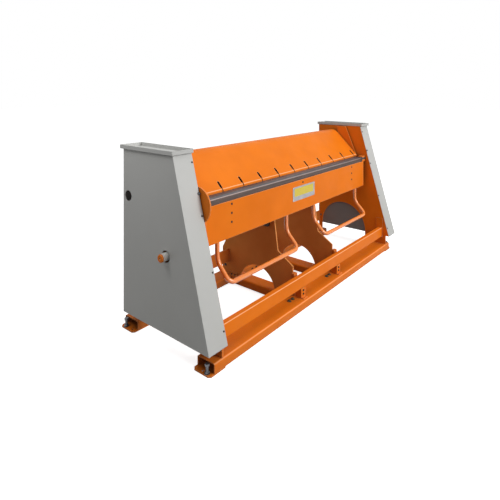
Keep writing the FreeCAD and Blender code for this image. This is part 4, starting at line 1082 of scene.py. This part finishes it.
@dataclass
class Studio:
    """Pale floor, soft lights and the camera."""

    eye: Point = (-2.7831, -1.9564, 1.492)
    yaw_degrees: float = 50.489
    focal_px: float = 436.4
    frame_px: float = 500.0
    horizon_px: float = 87.85
    world_strength: float = 0.30
    floor_lift: float = 0.8

    def show(self, tree: Tree, output: str, unseen: Node, seen: Node) -> None:
        """Show one shader to rays from the camera, a gloss or a clear piece, and light the rest by another.

        Args:
            tree: Backdrop's nodes.
            output: Kind of its output node.
            unseen: Shader that only lights other surfaces.
            seen: Shader that shows.
        """
        ray = add_node(tree, "LightPath").outputs
        direct = maths(tree, "MAXIMUM", ray["Is Camera Ray"], ray["Is Glossy Ray"])
        direct = maths(tree, "MAXIMUM", direct, ray["Is Transmission Ray"])
        chosen = add_node(tree, "MixShader", {0: direct, 1: unseen.outputs[0], 2: seen.outputs[0]})
        add_node(tree, output, {"Surface": chosen.outputs[0]})

    def floor(self) -> None:
        """Lay a large pale floor that shows white to the camera and keeps the shadow."""
        grid = bmesh.new()
        bmesh.ops.create_grid(grid, x_segments=2, y_segments=2, size=30.0)
        mesh = bpy.data.meshes.new("studio_floor")
        grid.to_mesh(mesh)
        grid.free()
        plane = bpy.data.objects.new("studio_floor", mesh)
        bpy.context.scene.collection.objects.link(plane)
        plane.location.z = -0.0005
        made = bpy.data.materials.new("pale_studio_floor")
        made.use_nodes = True
        tree = made.node_tree
        tree.nodes.clear()
        place = add_node(tree, "TexCoord").outputs["Object"]
        tone = mixed(tree, noise(tree, place, 0.6, 2.0), linear("#F4F4F4"), linear("#F0F0F0"))
        base = add_node(tree, "BsdfDiffuse", {"Color": tone})
        matt = add_node(tree, "BsdfDiffuse", {"Color": linear("#606060")})
        lift = add_node(tree, "Emission", {"Color": WHITE, "Strength": self.floor_lift})
        pale = add_node(tree, "AddShader", {0: base.outputs[0], 1: lift.outputs[0]})
        self.show(tree, "OutputMaterial", matt, pale)
        mesh.materials.append(made)

    def world(self) -> None:
        """Light everything softly and show white behind."""
        world = bpy.data.worlds.new("studio_world")
        bpy.context.scene.world = world
        world.use_nodes = True
        tree = world.node_tree
        tree.nodes.clear()
        soft = add_node(tree, "Background", {"Color": WHITE, "Strength": self.world_strength})
        white = add_node(tree, "Background", {"Color": WHITE, "Strength": 1.0})
        self.show(tree, "OutputWorld", soft, white)

    def lamp(self, name: str, place: Point, aim: Point, size: float, watts: float) -> None:
        """Hang one soft square lamp.

        Args:
            name: Name of the lamp.
            place: Where it hangs.
            aim: What it points at.
            size: Edge of its square.
            watts: Its power.
        """
        data = bpy.data.lights.new(name, "AREA")
        data.size = size
        data.energy = watts
        lamp = bpy.data.objects.new(name, data)
        lamp.location = place
        lamp.visible_camera = False
        lamp.rotation_euler = (Vector(aim) - Vector(place)).to_track_quat("-Z", "Y").to_euler()
        bpy.context.scene.collection.objects.link(lamp)

    def camera(self) -> None:
        """Set up the level camera with the photograph's view."""
        data = bpy.data.cameras.new("photo_camera")
        data.sensor_width = 36.0
        data.sensor_fit = "HORIZONTAL"
        data.lens = self.focal_px / self.frame_px * data.sensor_width
        data.shift_y = (self.horizon_px - self.frame_px / 2) / self.frame_px
        data.clip_end = 100.0
        camera = bpy.data.objects.new("photo_camera", data)
        camera.location = self.eye
        camera.rotation_euler = (radians(90), 0.0, -radians(self.yaw_degrees))
        bpy.context.scene.collection.objects.link(camera)
        bpy.context.scene.camera = camera

    def build(self) -> None:
        """Make the floor, the world, the lamps and the camera."""
        self.floor()
        self.world()
        self.lamp("key_softbox", (0.8, -6.2, 3.6), (0.0, 0.0, 0.5), 3.0, 356.0)
        self.lamp("top_softbox", (0.6, -0.6, 4.4), (0.0, 0.0, 0.6), 2.6, 36.0)
        self.lamp("left_softbox", (-2.0, 0.35, 2.15), (-1.2, 0.0, 0.95), 0.8, 8.0)
        self.camera()
        bpy.context.scene.view_settings.view_transform = "Standard"


def main() -> None:
    """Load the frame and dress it."""
    logging.basicConfig(level=logging.INFO, format="%(message)s")
    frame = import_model()
    FrameDress(frame["nodes"]).build()
    for assembly in (BaseFrame(), Housings(), FoldingBeam(), ClampingBeam(), Linkage()):
        LOG.info("building %s", type(assembly).__name__)
        assembly.build()
    Studio().build()


if __name__ == "__main__":
    main()
